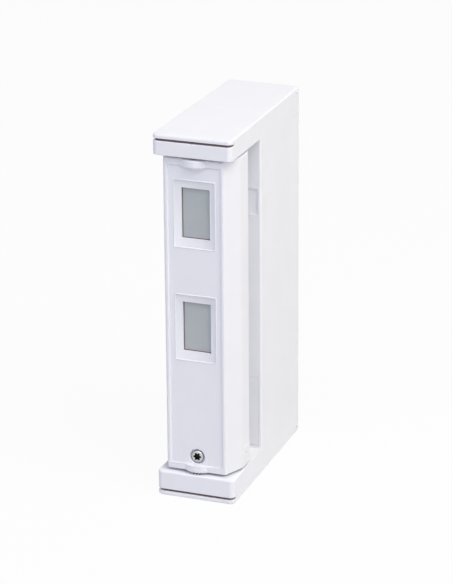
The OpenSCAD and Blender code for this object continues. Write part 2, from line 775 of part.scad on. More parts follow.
module tamper_body(r) difference() {
  block(2 * (r + tamper_wall), -tamper_deep(r), 0, -r - tamper_wall, r + tamper_wall);
  rod_y(r, -tamper_deep(r) + tamper_front_t, over);
}
module tamper_plunger(r, reach) {
  rod_y(r - gap, -tamper_front_t, 0);
  rod_y(tamper_rod_r(r), -bite, reach);
}
module tamper_spring(r)
  tube_y(r - gap * 2, tamper_rod_r(r), -tamper_deep(r) + tamper_front_t, -tamper_front_t);

module at_wall_tamper() translate([tamper_x, box_in, wall_tamper_z]) children();
module wall_tamper_body() color(black) at_wall_tamper() tamper_body(wall_tamper_r);
module wall_tamper_plunger() color(soft_white)
  at_wall_tamper() tamper_plunger(wall_tamper_r, -box_in + tamper_travel);
module wall_tamper_spring() color(steel) at_wall_tamper() tamper_spring(wall_tamper_r);

// The cover's tamper switch has a front wall that holds its plunger, and points at the cover
cover_tamper_y = sensor_board_y - tamper_deep(cover_tamper_r) - tamper_front_t;
cover_plunger_reach = 3;
module at_cover_tamper()
  translate([0, cover_tamper_y + tamper_front_t, cover_tamper_z]) rotate([180, 0, 0]) children();
module cover_tamper_body() color(black) at_cover_tamper() {
  tamper_body(cover_tamper_r);
  difference() {
    block(2 * (cover_tamper_r + tamper_wall), -bite / 2, tamper_front_t,
      -cover_tamper_r - tamper_wall, cover_tamper_r + tamper_wall);
    rod_y(cover_tamper_r, -over, 0);
    rod_y(tamper_rod_r(cover_tamper_r) + fit, -over, tamper_front_t + over);
  }
}
module cover_tamper_plunger() color(soft_white)
  at_cover_tamper() tamper_plunger(cover_tamper_r, tamper_front_t + cover_plunger_reach);
module cover_tamper_spring() color(steel) at_cover_tamper() tamper_spring(cover_tamper_r);

// Swivel: the upper shaft carries the index plate and the clip, the lower one is hollow
module upper_shaft() color(soft_white) difference() {
  union() {
    rod_z(upper_shaft_d / 2, clip_z0 - shaft_end, arm_up_in + bite, 0, swivel_y);
    rod_z(flange_r, arm_up_in, arm_up_in + flange_t, 0, swivel_y);
  }
  tube_z(upper_shaft_d, upper_shaft_d / 2 - shaft_end, clip_z0, index_z0, 0, swivel_y);
}
module lower_shaft() color(soft_white) difference() {
  union() {
    rod_z(lower_shaft_d / 2, arm_low_in - bite, head_z0 + end_t + air, 0, swivel_y);
    rod_z(flange_r, arm_low_in - flange_t, arm_low_in, 0, swivel_y);
  }
  rod_z(lower_bore_d / 2, arm_low_in - flange_t - over, head_z0 + end_t + over, 0, swivel_y);
}
module swivel_washers() color(dark_rubber) {
  tube_z(flange_r, upper_shaft_d / 2 + gap, head_z1, arm_up_z0, 0, swivel_y);
  tube_z(flange_r, lower_shaft_d / 2 + gap, arm_low_z1, head_z0, 0, swivel_y);
}
module index_plate() color(brass) difference() {
  tube_z(index_r, upper_shaft_d / 2 + gap / 2, index_z0, index_z1, 0, swivel_y);
  for (k = [0:click_count - 1])
    translate([0, swivel_y, 0]) rotate([0, 0, 90 + k * 360 / click_count])
      rod_z(notch_r, index_z0 - over, index_z1 + over, index_r, 0);
}
module shaft_clip() color(steel) difference() {
  tube_z(clip_r, upper_shaft_d / 2 - shaft_end + gap / 2, clip_z0, index_z0, 0, swivel_y);
  block(clip_slot, swivel_y, swivel_y + 2 * clip_r, clip_z0 - over, index_z0 + over);
}

// Plan of the head behind the joint: flat sides and a round back
module rear_plan(inset) intersection() {
  translate([-head_w / 2 + inset, part_y]) square([head_w - 2 * inset, back_r * 2]);
  translate([0, swivel_y]) circle(back_r - inset, $fn = round_fn);
}
module rear_solid(inset, z0, z1) translate([0, 0, z0]) linear_extrude(z1 - z0) rear_plan(inset);

click_leaf_t = 0.4;
click_leaf_w = 18;
click_leaf_h = 4;
click_rib_t = 1.5;
click_z1 = index_z1 - air;
click_y = swivel_y + index_r + bite / 2;

module head_chassis() color(white) difference() {
  union() {
    difference() {
      rear_solid(0, foot_z, head_z1);
      difference() {
        rear_solid(head_t, foot_z - over, head_z1 - end_t);
        rear_ribs();
      }
      translate([0, 0, foot_z - over]) linear_extrude(head_z1 - end_t - foot_z + over)
        translate([-head_w / 2 + head_t, part_y - over]) square([head_w - 2 * head_t, 2 * over]);
    }
    rod_z(collar_r, head_z1 - end_t, head_z1, 0, swivel_y);
  }
  rod_z(upper_shaft_d / 2 + fit, head_z1 - end_t - over, head_z1 + over, 0, swivel_y);
  sensor_post_places() rod_y(board_screw_r + gap / 2, sensor_board_y, sensor_board_y + sensor_post_deep);
}
module rear_ribs() {
  sensor_post_places() rod_y(sensor_post_r, sensor_board_y + board_t, sensor_board_y + 2 * sensor_post_deep);
  both_sides() block(click_rib_t, click_y + click_leaf_t, swivel_y + back_r, click_z1 - click_leaf_h,
    head_z1, click_leaf_w / 2 - click_rib_t);
}

weep_r = 0.6;
weep_back = 2.3;
weep_up = 6.4;
boss_web_w = 5;
lead_air = 1;
boss_y0 = column_y1 + air;
boss_y1 = swivel_y - lead_r - lead_air;
boss_skin = 0.3;
lip_in_h = 2;

module swivel_base() color(white) difference() {
  union() {
    difference() {
      rear_solid(-foot_step, head_z0, foot_z);
      rear_solid(head_t, head_z0 + end_t, foot_z + over);
      translate([0, 0, head_z0 + end_t]) linear_extrude(foot_h)
        translate([-head_w / 2 + head_t, part_y - over]) square([head_w - 2 * head_t, 2 * over]);
    }
    intersection() {
      difference() {
        rear_solid(head_t + gap, foot_z - lip_in_h, foot_z + lip_in_h);
        rear_solid(head_t + gap + lip_t, foot_z - lip_in_h - over, foot_z + lip_in_h + over);
      }
      block(head_w, swivel_y + lip_in_h, swivel_y + back_r, foot_z - lip_in_h, foot_z + lip_in_h);
    }
    intersection() {
      rear_solid(head_t - bite, foot_z - 2 * lip_in_h, foot_z);
      difference() {
        block(head_w, swivel_y + lip_in_h, swivel_y + back_r, foot_z - 2 * lip_in_h, foot_z);
        rear_solid(head_t + gap + lip_t, foot_z - 2 * lip_in_h - over, foot_z + over);
      }
    }
    rod_z(collar_r, head_z0, head_z0 + end_t, 0, swivel_y);
    rod_y(boss_r, boss_y0, boss_y1, 0, screw_z);
    block(boss_web_w, boss_y0, swivel_y - lower_shaft_d / 2 - bite, head_z0 + end_t + air, screw_z);
    block(boss_web_w, swivel_y - collar_r + air, swivel_y - lower_shaft_d / 2 - bite,
      head_z0 + end_t - bite, screw_z);
  }
  rod_z(lower_shaft_d / 2 + fit, head_z0 - over, head_z0 + end_t + air, 0, swivel_y);
  rod_y(cover_shank_d / 2 + gap / 2, boss_y0 - over, boss_y1 - boss_skin, 0, screw_z);
  both_sides() rod_x(weep_r, head_w / 2 - head_t - over, head_w / 2 + over, swivel_y + weep_back,
    head_z0 + weep_up);
}

module click_spring() color(steel) {
  block(click_leaf_w, click_y, click_y + click_leaf_t, click_z1 - click_leaf_h, click_z1);
  intersection() {
    rod_z(notch_r - gap / 2, index_z0 + gap, click_z1, 0, swivel_y + index_r);
    block(click_leaf_w, swivel_y, click_y + click_leaf_t, index_z0, click_z1);
  }
}

module sensor_board() color(board_green) difference() {
  block(sensor_board_w, sensor_board_y, sensor_board_y + board_t, sensor_board_z0, sensor_board_z1);
  sensor_post_places()
    rod_y(board_screw_r + gap, sensor_board_y - over, sensor_board_y + board_t + over);
}
module board_screws() color(steel)
  sensor_post_places() translate([0, sensor_board_y, 0])
    pan_screw_y(board_screw_head_r, board_screw_head_h, board_screw_r, board_screw_l);

// Pyroelectric sensor: a flanged can with a filter window
pyro_r = 4.15;
pyro_flange_r = 4.7;
pyro_flange_t = 0.6;
pyro_h = 4.2;
pyro_window = 3.6;
pyro_window_in = 0.3;
module pyro(z) color(steel) difference() {
  union() {
    rod_y(pyro_r, sensor_board_y - pyro_h, sensor_board_y, 0, z);
    rod_y(pyro_flange_r, sensor_board_y - pyro_flange_t, sensor_board_y, 0, z);
  }
  block(pyro_window, sensor_board_y - pyro_h - over, sensor_board_y - pyro_h + pyro_window_in,
    z - pyro_window / 2, z + pyro_window / 2);
}
module upper_pyro() pyro(upper_window_z);
module lower_pyro() pyro(lower_window_z);

led_w = 1.6;
led_x = 8;
led_up = 7;
led_z = (upper_window_z + lower_window_z) / 2 + led_up;
module status_led() color("#d8ead9")
  block(led_w, sensor_board_y - led_w / 2, sensor_board_y, led_z, led_z + 2 * led_w, led_x);

// Four-way switch between the windows
dip_ways = 4;
dip_pitch = 2.54;
dip_w = 11.7;
dip_h = 6.6;
dip_deep = 3.6;
dip_slot_w = 1.3;
dip_slot_h = 3.4;
dip_slot_in = 1.2;
dip_knob = 1.1;
dip_proud = 0.8;
dip_travel = 2;
dip_z = (upper_window_z + lower_window_z) / 2;
dip_y = sensor_board_y - dip_deep;
function dip_x(k) = (k - (dip_ways - 1) / 2) * dip_pitch;

module dip_body() color("#a33a34") difference() {
  block(dip_w, dip_y, sensor_board_y, dip_z - dip_h / 2, dip_z + dip_h / 2);
  for (k = [0:dip_ways - 1])
    block(dip_slot_w, dip_y - over, dip_y + dip_slot_in, dip_z - dip_slot_h / 2,
      dip_z + dip_slot_h / 2, dip_x(k));
}
module dip_slider(k) color("#f4f4f0")
  block(dip_knob, dip_y - dip_proud, dip_y + dip_slot_in, dip_z - dip_slot_h / 2 + gap,
    dip_z - dip_slot_h / 2 + gap + dip_knob, dip_x(k));

// Cover: front, chamfers and end rims, with the window bevels and the screw well
pad_rim = 1.6;
pad_t = 2;
lens_margin = 1.5;
lens_land = 1.2;
lens_y = face_y + panel_in + bevel_in + lens_land;
retainer_t = 1.2;
post_w = 4;
tongue_t = 1.4;
hook_w = 6;
hook_l = 4;
hook_x = 11;
cover_seal_w = 0.9;
cover_seal_t = 0.8;
cover_seal_in = 4;

function cover_half(y) = head_front_w / 2 + chamfer_slope * (y - face_y);
function cover_inner_half(y) = cover_half(y) - head_t * slant;
cover_inner_y = face_y + (head_w / 2 - head_t - head_front_w / 2 + head_t * slant) / chamfer_slope;

module mirrored_polygon(points)
  polygon(concat(points, [for (k = [len(points) - 1:-1:0]) [-points[k].x, points[k].y]]));

module cover_outer(z0, z1) translate([0, 0, z0]) linear_extrude(z1 - z0)
  mirrored_polygon([[head_front_w / 2, face_y], [head_w / 2, chamfer_y], [head_w / 2, part_y]]);
module cover_inner(z0, z1) translate([0, 0, z0]) linear_extrude(z1 - z0)
  mirrored_polygon([[cover_inner_half(cover_in_y), cover_in_y], [head_w / 2 - head_t, cover_inner_y],
    [head_w / 2 - head_t, part_y + over]]);

// Four-sided funnel, wide at y0
module funnel(w0, h0, w1, h1, y0, y1, z) translate([0, 0, z]) intersection() {
  translate([0, 0, -h0 / 2]) linear_extrude(h0)
    polygon([[-w0 / 2, y0], [w0 / 2, y0], [w1 / 2, y1], [-w1 / 2, y1]]);
  rotate([0, 90, 0]) translate([0, 0, -w0 / 2]) linear_extrude(w0)
    polygon([[-h0 / 2, y0], [h0 / 2, y0], [h1 / 2, y1], [-h1 / 2, y1]]);
}

module cover_end(z0) {
  cover_outer(z0, z0 + rim_h);
  intersection() {
    rod_z(bulge_r, z0, z0 + rim_h, 0, bulge_y);
    block(head_w, face_y - bulge_out - over, part_y, z0, z0 + rim_h);
  }
}

module head_cover() color(white) difference() {
  union() {
    difference() {
      cover_outer(head_z0, head_z1);
      cover_inner(head_z0 + rim_h, head_z1 - rim_h);
    }
    cover_end(head_z0);
    cover_end(head_z1 - rim_h);
    for (z = [upper_window_z, lower_window_z])
      block(window_w + 2 * pad_rim, cover_in_y - bite, cover_in_y + pad_t, z - window_h / 2,
        z + window_h / 2);
    rod_y(column_r, cover_in_y - bite, column_y1, 0, screw_z);
    block(post_w, cover_in_y - bite, cover_tamper_y - cover_plunger_reach - air,
      cover_tamper_z - post_w / 2, cover_tamper_z + post_w / 2);
    both_sides() block(hook_w, part_y - hook_l, part_y + hook_l, head_z1 - end_t - gap - tongue_t,
      head_z1 - end_t - gap, hook_x);
    both_sides() block(hook_w, part_y - hook_l, part_y - gap, head_z1 - end_t - tongue_t,
      head_z1 - end_t + bite, hook_x);
  }
  block(panel_w, face_y - over, face_y + panel_in, head_z0 + rim_h, head_z1 - rim_h);
  for (z = [upper_window_z, lower_window_z]) {
    block(window_w, face_y, face_y + panel_in + window_step, z - window_h / 2, z + window_h / 2);
    funnel(window_w, window_h, lens_w, lens_h, face_y + panel_in + window_step,
      face_y + panel_in + bevel_in, z);
    block(lens_w, face_y, cover_in_y + pad_t + over, z - lens_h / 2, z + lens_h / 2);
    block(lens_w + 2 * lens_margin + 2 * gap, lens_y, cover_in_y + pad_t + over,
      z - lens_h / 2 - lens_margin - gap, z + lens_h / 2 + lens_margin + gap);
  }
  rod_y(well_r, face_y - over, well_y, 0, screw_z);
  rod_y(cover_shank_d / 2 + gap, face_y, column_y1 + over, 0, screw_z);
  rod_y(ring_r + gap, column_y1 - ring_deep, column_y1 + over, 0, screw_z);
  for (z = [head_z0 - over, head_z1 - rim_h - gap])
    rod_z(collar_r + air, z, z + rim_h + over + gap, 0, swivel_y);
  both_sides() block(cover_seal_w + gap, part_y - cover_seal_t, part_y + over,
    head_z0 + cover_seal_in, head_z1 - cover_seal_in, head_w / 2 - head_t / 2);
}

module lens(z) color(lens_grey)
  block(lens_w + 2 * lens_margin, lens_y, lens_y + lens_t, z - lens_h / 2 - lens_margin,
    z + lens_h / 2 + lens_margin);
module upper_lens() lens(upper_window_z);
module lower_lens() lens(lower_window_z);
module lens_retainers() color(black)
  for (z = [upper_window_z, lower_window_z]) difference() {
    block(lens_w + 2 * lens_margin, lens_y + lens_t, lens_y + lens_t + retainer_t,
      z - lens_h / 2 - lens_margin, z + lens_h / 2 + lens_margin);
    block(lens_w, lens_y, lens_y + lens_t + retainer_t + over, z - lens_h / 2, z + lens_h / 2);
  }

module cover_screw() color(steel)
  translate([0, well_y, screw_z])
    pan_screw_y(cover_head_d / 2, well_y - face_y - panel_in, cover_shank_d / 2,
      boss_y1 - boss_skin - bite - well_y);
module screw_ring() color(dark_rubber)
  tube_y(ring_r, cover_shank_d / 2 + fit, column_y1 - ring_deep, column_y1, 0, screw_z);
module cover_seals() color(dark_rubber)
  both_sides() block(cover_seal_w, part_y - cover_seal_t, part_y, head_z0 + cover_seal_in + gap,
    head_z1 - cover_seal_in - gap, head_w / 2 - head_t / 2);

front_housing();
back_box();
wall_plate();
top_front_cap();
top_rear_cap();
bottom_front_cap();
bottom_rear_cap();
cap_seals();
box_seal();
housing_screws();
plate_screws();
spine_hatch();
hatch_screws();
main_board();
main_board_screws();
terminal_block();
terminal_screws();
main_plug();
head_lead();
radio_board();
radio_shield();
radio_leads();
battery_holder();
batteries();
battery_contacts();
battery_leads();
cable_grommet();
wall_tamper_body();
wall_tamper_plunger();
wall_tamper_spring();
upper_shaft();
lower_shaft();
swivel_washers();
index_plate();
shaft_clip();
head_chassis();
swivel_base();
click_spring();
sensor_board();
board_screws();
upper_pyro();
lower_pyro();
status_led();
sensor_plug();
dip_body();
dip_slider(0);  // dip_slider_1
dip_slider(1);  // dip_slider_2
dip_slider(2);  // dip_slider_3
dip_slider(3);  // dip_slider_4
cover_tamper_body();
cover_tamper_plunger();
cover_tamper_spring();
head_cover();
upper_lens();
lower_lens();
lens_retainers();
cover_screw();
screw_ring();
cover_seals();
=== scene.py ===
import json
import math

import bmesh
import bpy
from mathutils import Matrix, Vector


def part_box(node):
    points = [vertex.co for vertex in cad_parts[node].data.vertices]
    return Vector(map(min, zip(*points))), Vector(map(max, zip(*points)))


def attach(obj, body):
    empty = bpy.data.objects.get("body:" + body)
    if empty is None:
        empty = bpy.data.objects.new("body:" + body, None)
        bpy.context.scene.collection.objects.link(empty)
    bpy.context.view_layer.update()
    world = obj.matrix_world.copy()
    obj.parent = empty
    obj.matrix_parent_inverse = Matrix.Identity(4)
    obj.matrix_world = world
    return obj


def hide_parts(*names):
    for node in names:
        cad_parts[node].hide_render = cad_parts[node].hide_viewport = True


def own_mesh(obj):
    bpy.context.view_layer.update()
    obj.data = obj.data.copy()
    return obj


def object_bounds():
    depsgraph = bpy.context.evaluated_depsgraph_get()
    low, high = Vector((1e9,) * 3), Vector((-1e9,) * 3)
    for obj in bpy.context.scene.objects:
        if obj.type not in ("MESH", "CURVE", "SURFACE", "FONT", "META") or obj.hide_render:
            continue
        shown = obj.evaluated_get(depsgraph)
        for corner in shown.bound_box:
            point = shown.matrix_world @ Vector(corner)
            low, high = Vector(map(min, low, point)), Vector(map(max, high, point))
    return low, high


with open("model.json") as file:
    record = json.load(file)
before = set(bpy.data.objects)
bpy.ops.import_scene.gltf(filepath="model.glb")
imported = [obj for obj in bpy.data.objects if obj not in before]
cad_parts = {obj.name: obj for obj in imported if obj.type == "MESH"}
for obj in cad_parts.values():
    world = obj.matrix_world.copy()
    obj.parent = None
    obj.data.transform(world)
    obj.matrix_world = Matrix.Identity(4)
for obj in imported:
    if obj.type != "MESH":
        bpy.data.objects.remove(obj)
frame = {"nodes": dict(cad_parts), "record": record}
cadLow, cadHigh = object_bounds()
scene = bpy.context.scene
mm = 0.001
print("frame loaded with", len(frame["nodes"]), "nodes")

# Camera, fitted to the edges in the photograph
cameraLook = {
    "azimuth": 20.813,                       # degrees round the object, 0 looks at the windows
    "elevation": 20.214,
    "roll": -0.442,
    "place": (408.093, -1126.857, 423.372),  # mm in the object's frame
    "lens": 162.127,
    "sensor": 36.0,
    "clip": (0.05, 50),                      # metres
}


def placeCamera(look):
    turn, rise, roll = (math.radians(look[k]) for k in ("azimuth", "elevation", "roll"))
    flat = math.cos(rise)
    back = Vector((math.sin(turn) * flat, -math.cos(turn) * flat, math.sin(rise)))
    levelRight = (-back).cross(Vector((0, 0, 1))).normalized()
    levelUp = levelRight.cross(-back)
    right = levelRight * math.cos(roll) + levelUp * math.sin(roll)
    up = levelUp * math.cos(roll) - levelRight * math.sin(roll)
    lens = bpy.data.cameras.new("photoCamera")
    lens.lens, lens.sensor_width, lens.sensor_fit = look["lens"], look["sensor"], "AUTO"
    lens.clip_start, lens.clip_end = look["clip"]
    camera = bpy.data.objects.new("photoCamera", lens)
    scene.collection.objects.link(camera)
    spot = Vector(look["place"]) * mm
    rows = [(right[i], up[i], back[i], spot[i]) for i in range(3)] + [(0, 0, 0, 1)]
    camera.matrix_world = Matrix(rows)
    scene.camera = camera


placeCamera(cameraLook)
print("camera placed")


def toLinear(hexColor):
    parts = [int(hexColor[i:i + 2], 16) / 255 for i in (1, 3, 5)]
    return tuple(p / 12.92 if p <= 0.04045 else ((p + 0.055) / 1.055) ** 2.4 for p in parts) + (1.0,)


# Adds a node. Its sockets are set to a value, or linked to another node's output or its first output;
# the rest are its own properties.
def addNode(tree, kind, sockets={}, **own):
    node = tree.nodes.new(kind)
    for name, value in own.items():
        setattr(node, name, value)
    for name, value in sockets.items():
        if isinstance(value, bpy.types.Node):
            value = value.outputs[0]
        if isinstance(value, bpy.types.NodeSocket):
            tree.links.new(value, node.inputs[name])
        else:
            node.inputs[name].default_value = value
    return node


# Scale of a pattern whose features are this many millimetres across
def perMetre(featureMm):
    return 1 / (featureMm * mm)


# Finishes. The cloud, a slow noise, turns the colour to the tint and varies the roughness by the span;
# without one the grain varies it. The grain, a fine noise, stands up from the surface. cloud, grain and
# deep are in mm. Keys with capitals are sockets of the shader.
plastics = {
    # satin UV-stable ASA from a finely spark-eroded mould: bright cool white with a soft sheen;
    # the real grain of about 0.1 mm is drawn at 0.45 mm so that it shows
    "satinAsaMoulding": {"color": "#f0f0f5", "tint": "#ebecf2", "rough": 0.42,
                         "grain": 0.45, "deep": 0.010, "IOR": 1.51},
    # black polycarbonate, matt from the mould, for holders and switches
    "mattBlackPolycarbonate": {"color": "#202124", "tint": "#2b2c30", "rough": 0.48,
                               "grain": 0.5, "deep": 0.015, "IOR": 1.58},
    # natural acetal: milky white and slightly waxy
    "naturalAcetal": {"color": "#e6e7ea", "tint": "#dfe0e2", "rough": 0.36,
                      "grain": 0.8, "deep": 0.004, "IOR": 1.48},
    # green polyamide of a terminal strip: dull, a little mottled by its filler
    "greenPolyamide": {"color": "#3b8758", "tint": "#337a4e", "rough": 0.5,
                       "grain": 0.6, "deep": 0.012, "IOR": 1.53},
    # red thermoplastic of a small slide switch: smooth and slightly glossy
    "redSwitchPlastic": {"color": "#a5322c", "tint": "#972a26", "rough": 0.34,
                         "grain": 0.6, "deep": 0.006, "IOR": 1.55},
    # soft PVC jacket of the lead, pale grey and slightly greasy
    "paleLeadJacket": {"color": "#d6d6d2", "tint": "#cbcbc8", "rough": 0.45,
                       "grain": 0.7, "deep": 0.010, "IOR": 1.53},
    # EPDM sealing rubber: no gloss, dusty bloom on the surface; its dark colour also paints the shade in the
    # grooves under the caps and round the lenses
    "darkSealRubber": {"color": "#6d5659", "tint": "#7a6366", "rough": 0.72,
                       "grain": 0.6, "deep": 0.020, "IOR": 1.50},
    # moulded epoxy of chip packages: fine matt charcoal
    "mattChipEpoxy": {"color": "#1c1d1f", "tint": "#242528", "rough": 0.55,
                      "grain": 0.4, "deep": 0.010, "IOR": 1.55},
    # tan ceramic of small capacitors: smooth fired body
    "tanCeramic": {"color": "#b59c76", "tint": "#a68c66", "rough": 0.4,
                   "grain": 0.5, "deep": 0.004, "IOR": 1.6},
}
metals = {
    # stainless A2 screws, tumbled after heading: bright, with a faint orange-peel
    "tumbledStainless": {"color": "#c9cacb", "rough": 0.24, "grain": 0.5},
    # bottom of a driven recess: duller where polish doesn't reach, and painted dark as shade where light
    # doesn't reach
    "oxidisedRecessSteel": {"color": "#2c2a28", "rough": 0.5, "grain": 0.4},
    # nickel-plated spring wire: brighter and slightly warm
    "nickelSpringWire": {"color": "#d2cec6", "rough": 0.2, "grain": 0.4},
    # tinned sheet of shields and legs: dull silver with cloudy patches
    "tinnedSheet": {"color": "#bfc0bd", "rough": 0.38, "grain": 1.2},
    # turned brass: golden with fine tool marks
    "turnedBrass": {"color": "#d1a958", "rough": 0.28, "grain": 0.5},
}
films = {
    # heat-shrink film on a lithium cell: plain grey-blue, tight and glossy with faint folds
    "shrinkSleeve": {"color": "#8591a0", "rough": 0.22, "Coat Weight": 0.4, "grain": 2.5},
    # diffused epoxy of a status light: milky pale green
    "diffusedEpoxy": {"color": "#d8ead9", "rough": 0.25, "Coat Weight": 0.2, "grain": 1.0},
    # coated silicon filter of a pyro sensor: near-black and mirror-smooth
    "darkSiliconFilter": {"color": "#3a3d44", "rough": 0.15, "Coat Weight": 0.6, "grain": 3.0},
}
sheets = {
    # infrared lens: milky grey polyethylene sheet, satin on the weather side, a little light glows through
    "milkyLensPolyethylene": {
        "color": "#b9bebf", "tint": "#b4bbbe", "rough": 0.36, "span": (-0.06, 0.06), "cloud": 9,
        "cloudDetail": 2.0, "IOR": 1.52, "Subsurface Weight": 0.35, "Subsurface Radius": (1.0, 1.0, 1.0),
        "Subsurface Scale": 1.2 * mm},
    # green solder mask on a glass-fibre board: glossy, with paler runs where copper lies under it;
    # trackStep is in mm, trackWide is a share of it
    "greenSolderMask": {"color": "#245c3a", "tint": "#3c7d50", "rough": 0.3, "trackStep": 2.2,
                        "trackWide": 0.1, "strength": 0.4, "deep": 0.03, "IOR": 1.55},
}
# What the finishes of each kind share
sharedLooks = [
    (plastics, {"cloud": 14, "cloudDetail": 3.0, "span": (-0.05, 0.06), "grainDetail": 2.0,
                "grainUneven": 0.6, "strength": 0.35}),
    (metals, {"Metallic": 1.0, "span": (-0.07, 0.12), "grainDetail": 4.0, "strength": 0.2, "deep": 0.01}),
    (films, {"Coat Roughness": 0.1, "grainDetail": 2.0, "strength": 0.25, "deep": 0.05}),
    (sheets, {}),
]


# The empty node tree of a material or a world
def emptyTree(owner):
    owner.use_nodes = True
    owner.node_tree.nodes.clear()
    return owner.node_tree


def makeFinish(name, look):
    material = bpy.data.materials.new(name)
    tree = emptyTree(material)
    color = toLinear(look["color"])
    material.diffuse_color = color
    sockets = {"Base Color": color, "Roughness": look["rough"]}
    sockets.update({key: value for key, value in look.items() if key[0].isupper()})
    place = addNode(tree, "ShaderNodeTexCoord").outputs["Object"]
    patterns = {}
    for kind in ("grain", "cloud"):
        if kind in look:
            patterns[kind] = addNode(tree, "ShaderNodeTexNoise", {
                "Vector": place, "Scale": perMetre(look[kind]), "Detail": look[kind + "Detail"],
                "Roughness": look.get(kind + "Uneven", 0.5)})
    if "trackStep" in look:
        cells = addNode(tree, "ShaderNodeTexVoronoi", {"Vector": place, "Scale": perMetre(look["trackStep"])},
                        feature="DISTANCE_TO_EDGE", distance="CHEBYCHEV")
        patterns["grain"] = addNode(tree, "ShaderNodeMath", {
            0: cells.outputs["Distance"], 1: look["trackWide"]}, operation="LESS_THAN")
    slow = patterns.get("cloud", patterns.get("grain"))
    if "tint" in look:
        blend = addNode(tree, "ShaderNodeMix", {0: slow, 6: color, 7: toLinear(look["tint"])},
                        data_type="RGBA")
        sockets["Base Color"] = blend.outputs[2]
    if "span" in look:
        less, more = look["span"]
        sockets["Roughness"] = addNode(tree, "ShaderNodeMapRange", {
            "Value": slow, "To Min": look["rough"] + less, "To Max": look["rough"] + more})
    if "grain" in patterns:
        sockets["Normal"] = addNode(tree, "ShaderNodeBump", {
            "Height": patterns["grain"], "Strength": look["strength"], "Distance": look["deep"] * mm})
    shader = addNode(tree, "ShaderNodeBsdfPrincipled", sockets)
    addNode(tree, "ShaderNodeOutputMaterial", {"Surface": shader})
    return material


materials = {name: makeFinish(name, {**shared, **look})
             for looks, shared in sharedLooks for name, look in looks.items()}
print("materials made:", len(materials))

# Body of each CAD node, as the record has it
record = frame["record"]
bodyOf = {node: body for body, nodes in record["behaviour"]["bodies"].items() for node in nodes}


def addPiece(name, mesh, material=None):
    piece = bpy.data.objects.new(name, mesh)
    scene.collection.objects.link(piece)
    if material:
        mesh.materials.clear()
        mesh.materials.append(materials[material])
    return piece


# Turns what the modifiers make into the piece's own mesh
def freeze(piece):
    graph = bpy.context.evaluated_depsgraph_get()
    shown = piece.evaluated_get(graph)
    mesh = bpy.data.meshes.new_from_object(shown, preserve_all_data_layers=True, depsgraph=graph)
    piece.modifiers.clear()
    piece.data = mesh
    return piece


def finishPiece(piece, body):
    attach(piece, body)


# A piece that stands for a CAD node, on the node's body
def replaceNode(piece, node):
    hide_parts(node)
    finishPiece(piece, bodyOf[node])


# How a CAD node's mesh is cleaned, rounded and shaded
roundingLook = {
    "weld": 0.002,          # mm, corners this close are one
    "level": 0.7,           # degrees, faces this level are one
    "sliverLong": 3,        # mm, shorter edges hold no slivers
    "sliverWide": 0.006,    # mm
    "sliverEnd": 0.001,     # share of the edge
    "speck": 0.0005,        # mm
    "roundFrom": 17,        # degrees of bend from which an edge can be rounded
    "crispFrom": 30,        # degrees of bend from which an edge that isn't rounded stays crisp
    "smoothTo": 48,         # degrees of bend up to which shading runs on
    "flatFrom": 2,          # mm2, smaller faces aren't shaded flat
    "curveBend": (0.0002, 0.2),   # 1 less the cosine of the bend between two faces of a curve
    "curveShare": 0.3,      # a flat face's curved neighbours are smaller than this share of it
}


# Welds corners that lie on another edge of the same face: this leaves no slivers for a rounding to follow
def weldSlivers(form, look):
    welds = {}
    for edge in [e for e in form.edges if e.calc_length() > look["sliverLong"] * mm]:
        start, way = edge.verts[0].co.copy(), edge.verts[1].co - edge.verts[0].co
        onEdge = {}
        for vert in {v for face in edge.link_faces for v in face.verts} - set(edge.verts):
            share = (vert.co - start).dot(way) / way.length_squared
            aside = (start + way * share - vert.co).length
            if look["sliverEnd"] < share < 1 - look["sliverEnd"] and aside < look["sliverWide"] * mm:
                onEdge[vert] = share
        done, tail = 0, edge.verts[0]
        for vert, share in sorted(onEdge.items(), key=lambda pair: pair[1]):
            cut = bmesh.utils.edge_split(edge, tail, (share - done) / (1 - done))
            edge = edge if tail not in edge.verts else cut[0]
            tail, done = cut[1], share
            welds[cut[1]] = vert
    bmesh.ops.weld_verts(form, targetmap=welds)
    bmesh.ops.dissolve_degenerate(form, dist=look["speck"] * mm, edges=form.edges)


# Flat faces shaded flat up to their edges, curved ones smooth; sharper edges stay crisp
def shadeFaces(piece, look):
    form = bmesh.new()
    form.from_mesh(piece.data)
    crisp = math.cos(math.radians(look["smoothTo"]))
    least, most = look["curveBend"]
    flat = {}
    for face in form.faces:
        area = face.calc_area()
        beside = [other for edge in face.edges for other in edge.link_faces
                  if other is not face and least < 1 - other.normal.dot(face.normal) < most]
        isFlat = area > look["flatFrom"] * mm * mm and all(
            other.calc_area() < look["curveShare"] * area for other in beside)
        flat[face] = area * isFlat
    normals = []
    for face in form.faces:
        for loop in face.loops:
            if flat[face]:
                normals.append(face.normal.copy())
                continue
            around = [other for other in loop.vert.link_faces if other.normal.dot(face.normal) > crisp]
            widest = max(around, key=lambda other: flat[other])
            if flat[widest]:
                normals.append(widest.normal.copy())
            else:
                blend = sum((other.normal * other.calc_area() for other in around), Vector())
                normals.append(blend.normalized())
    form.free()
    piece.data.normals_split_custom_set(normals)
    return piece


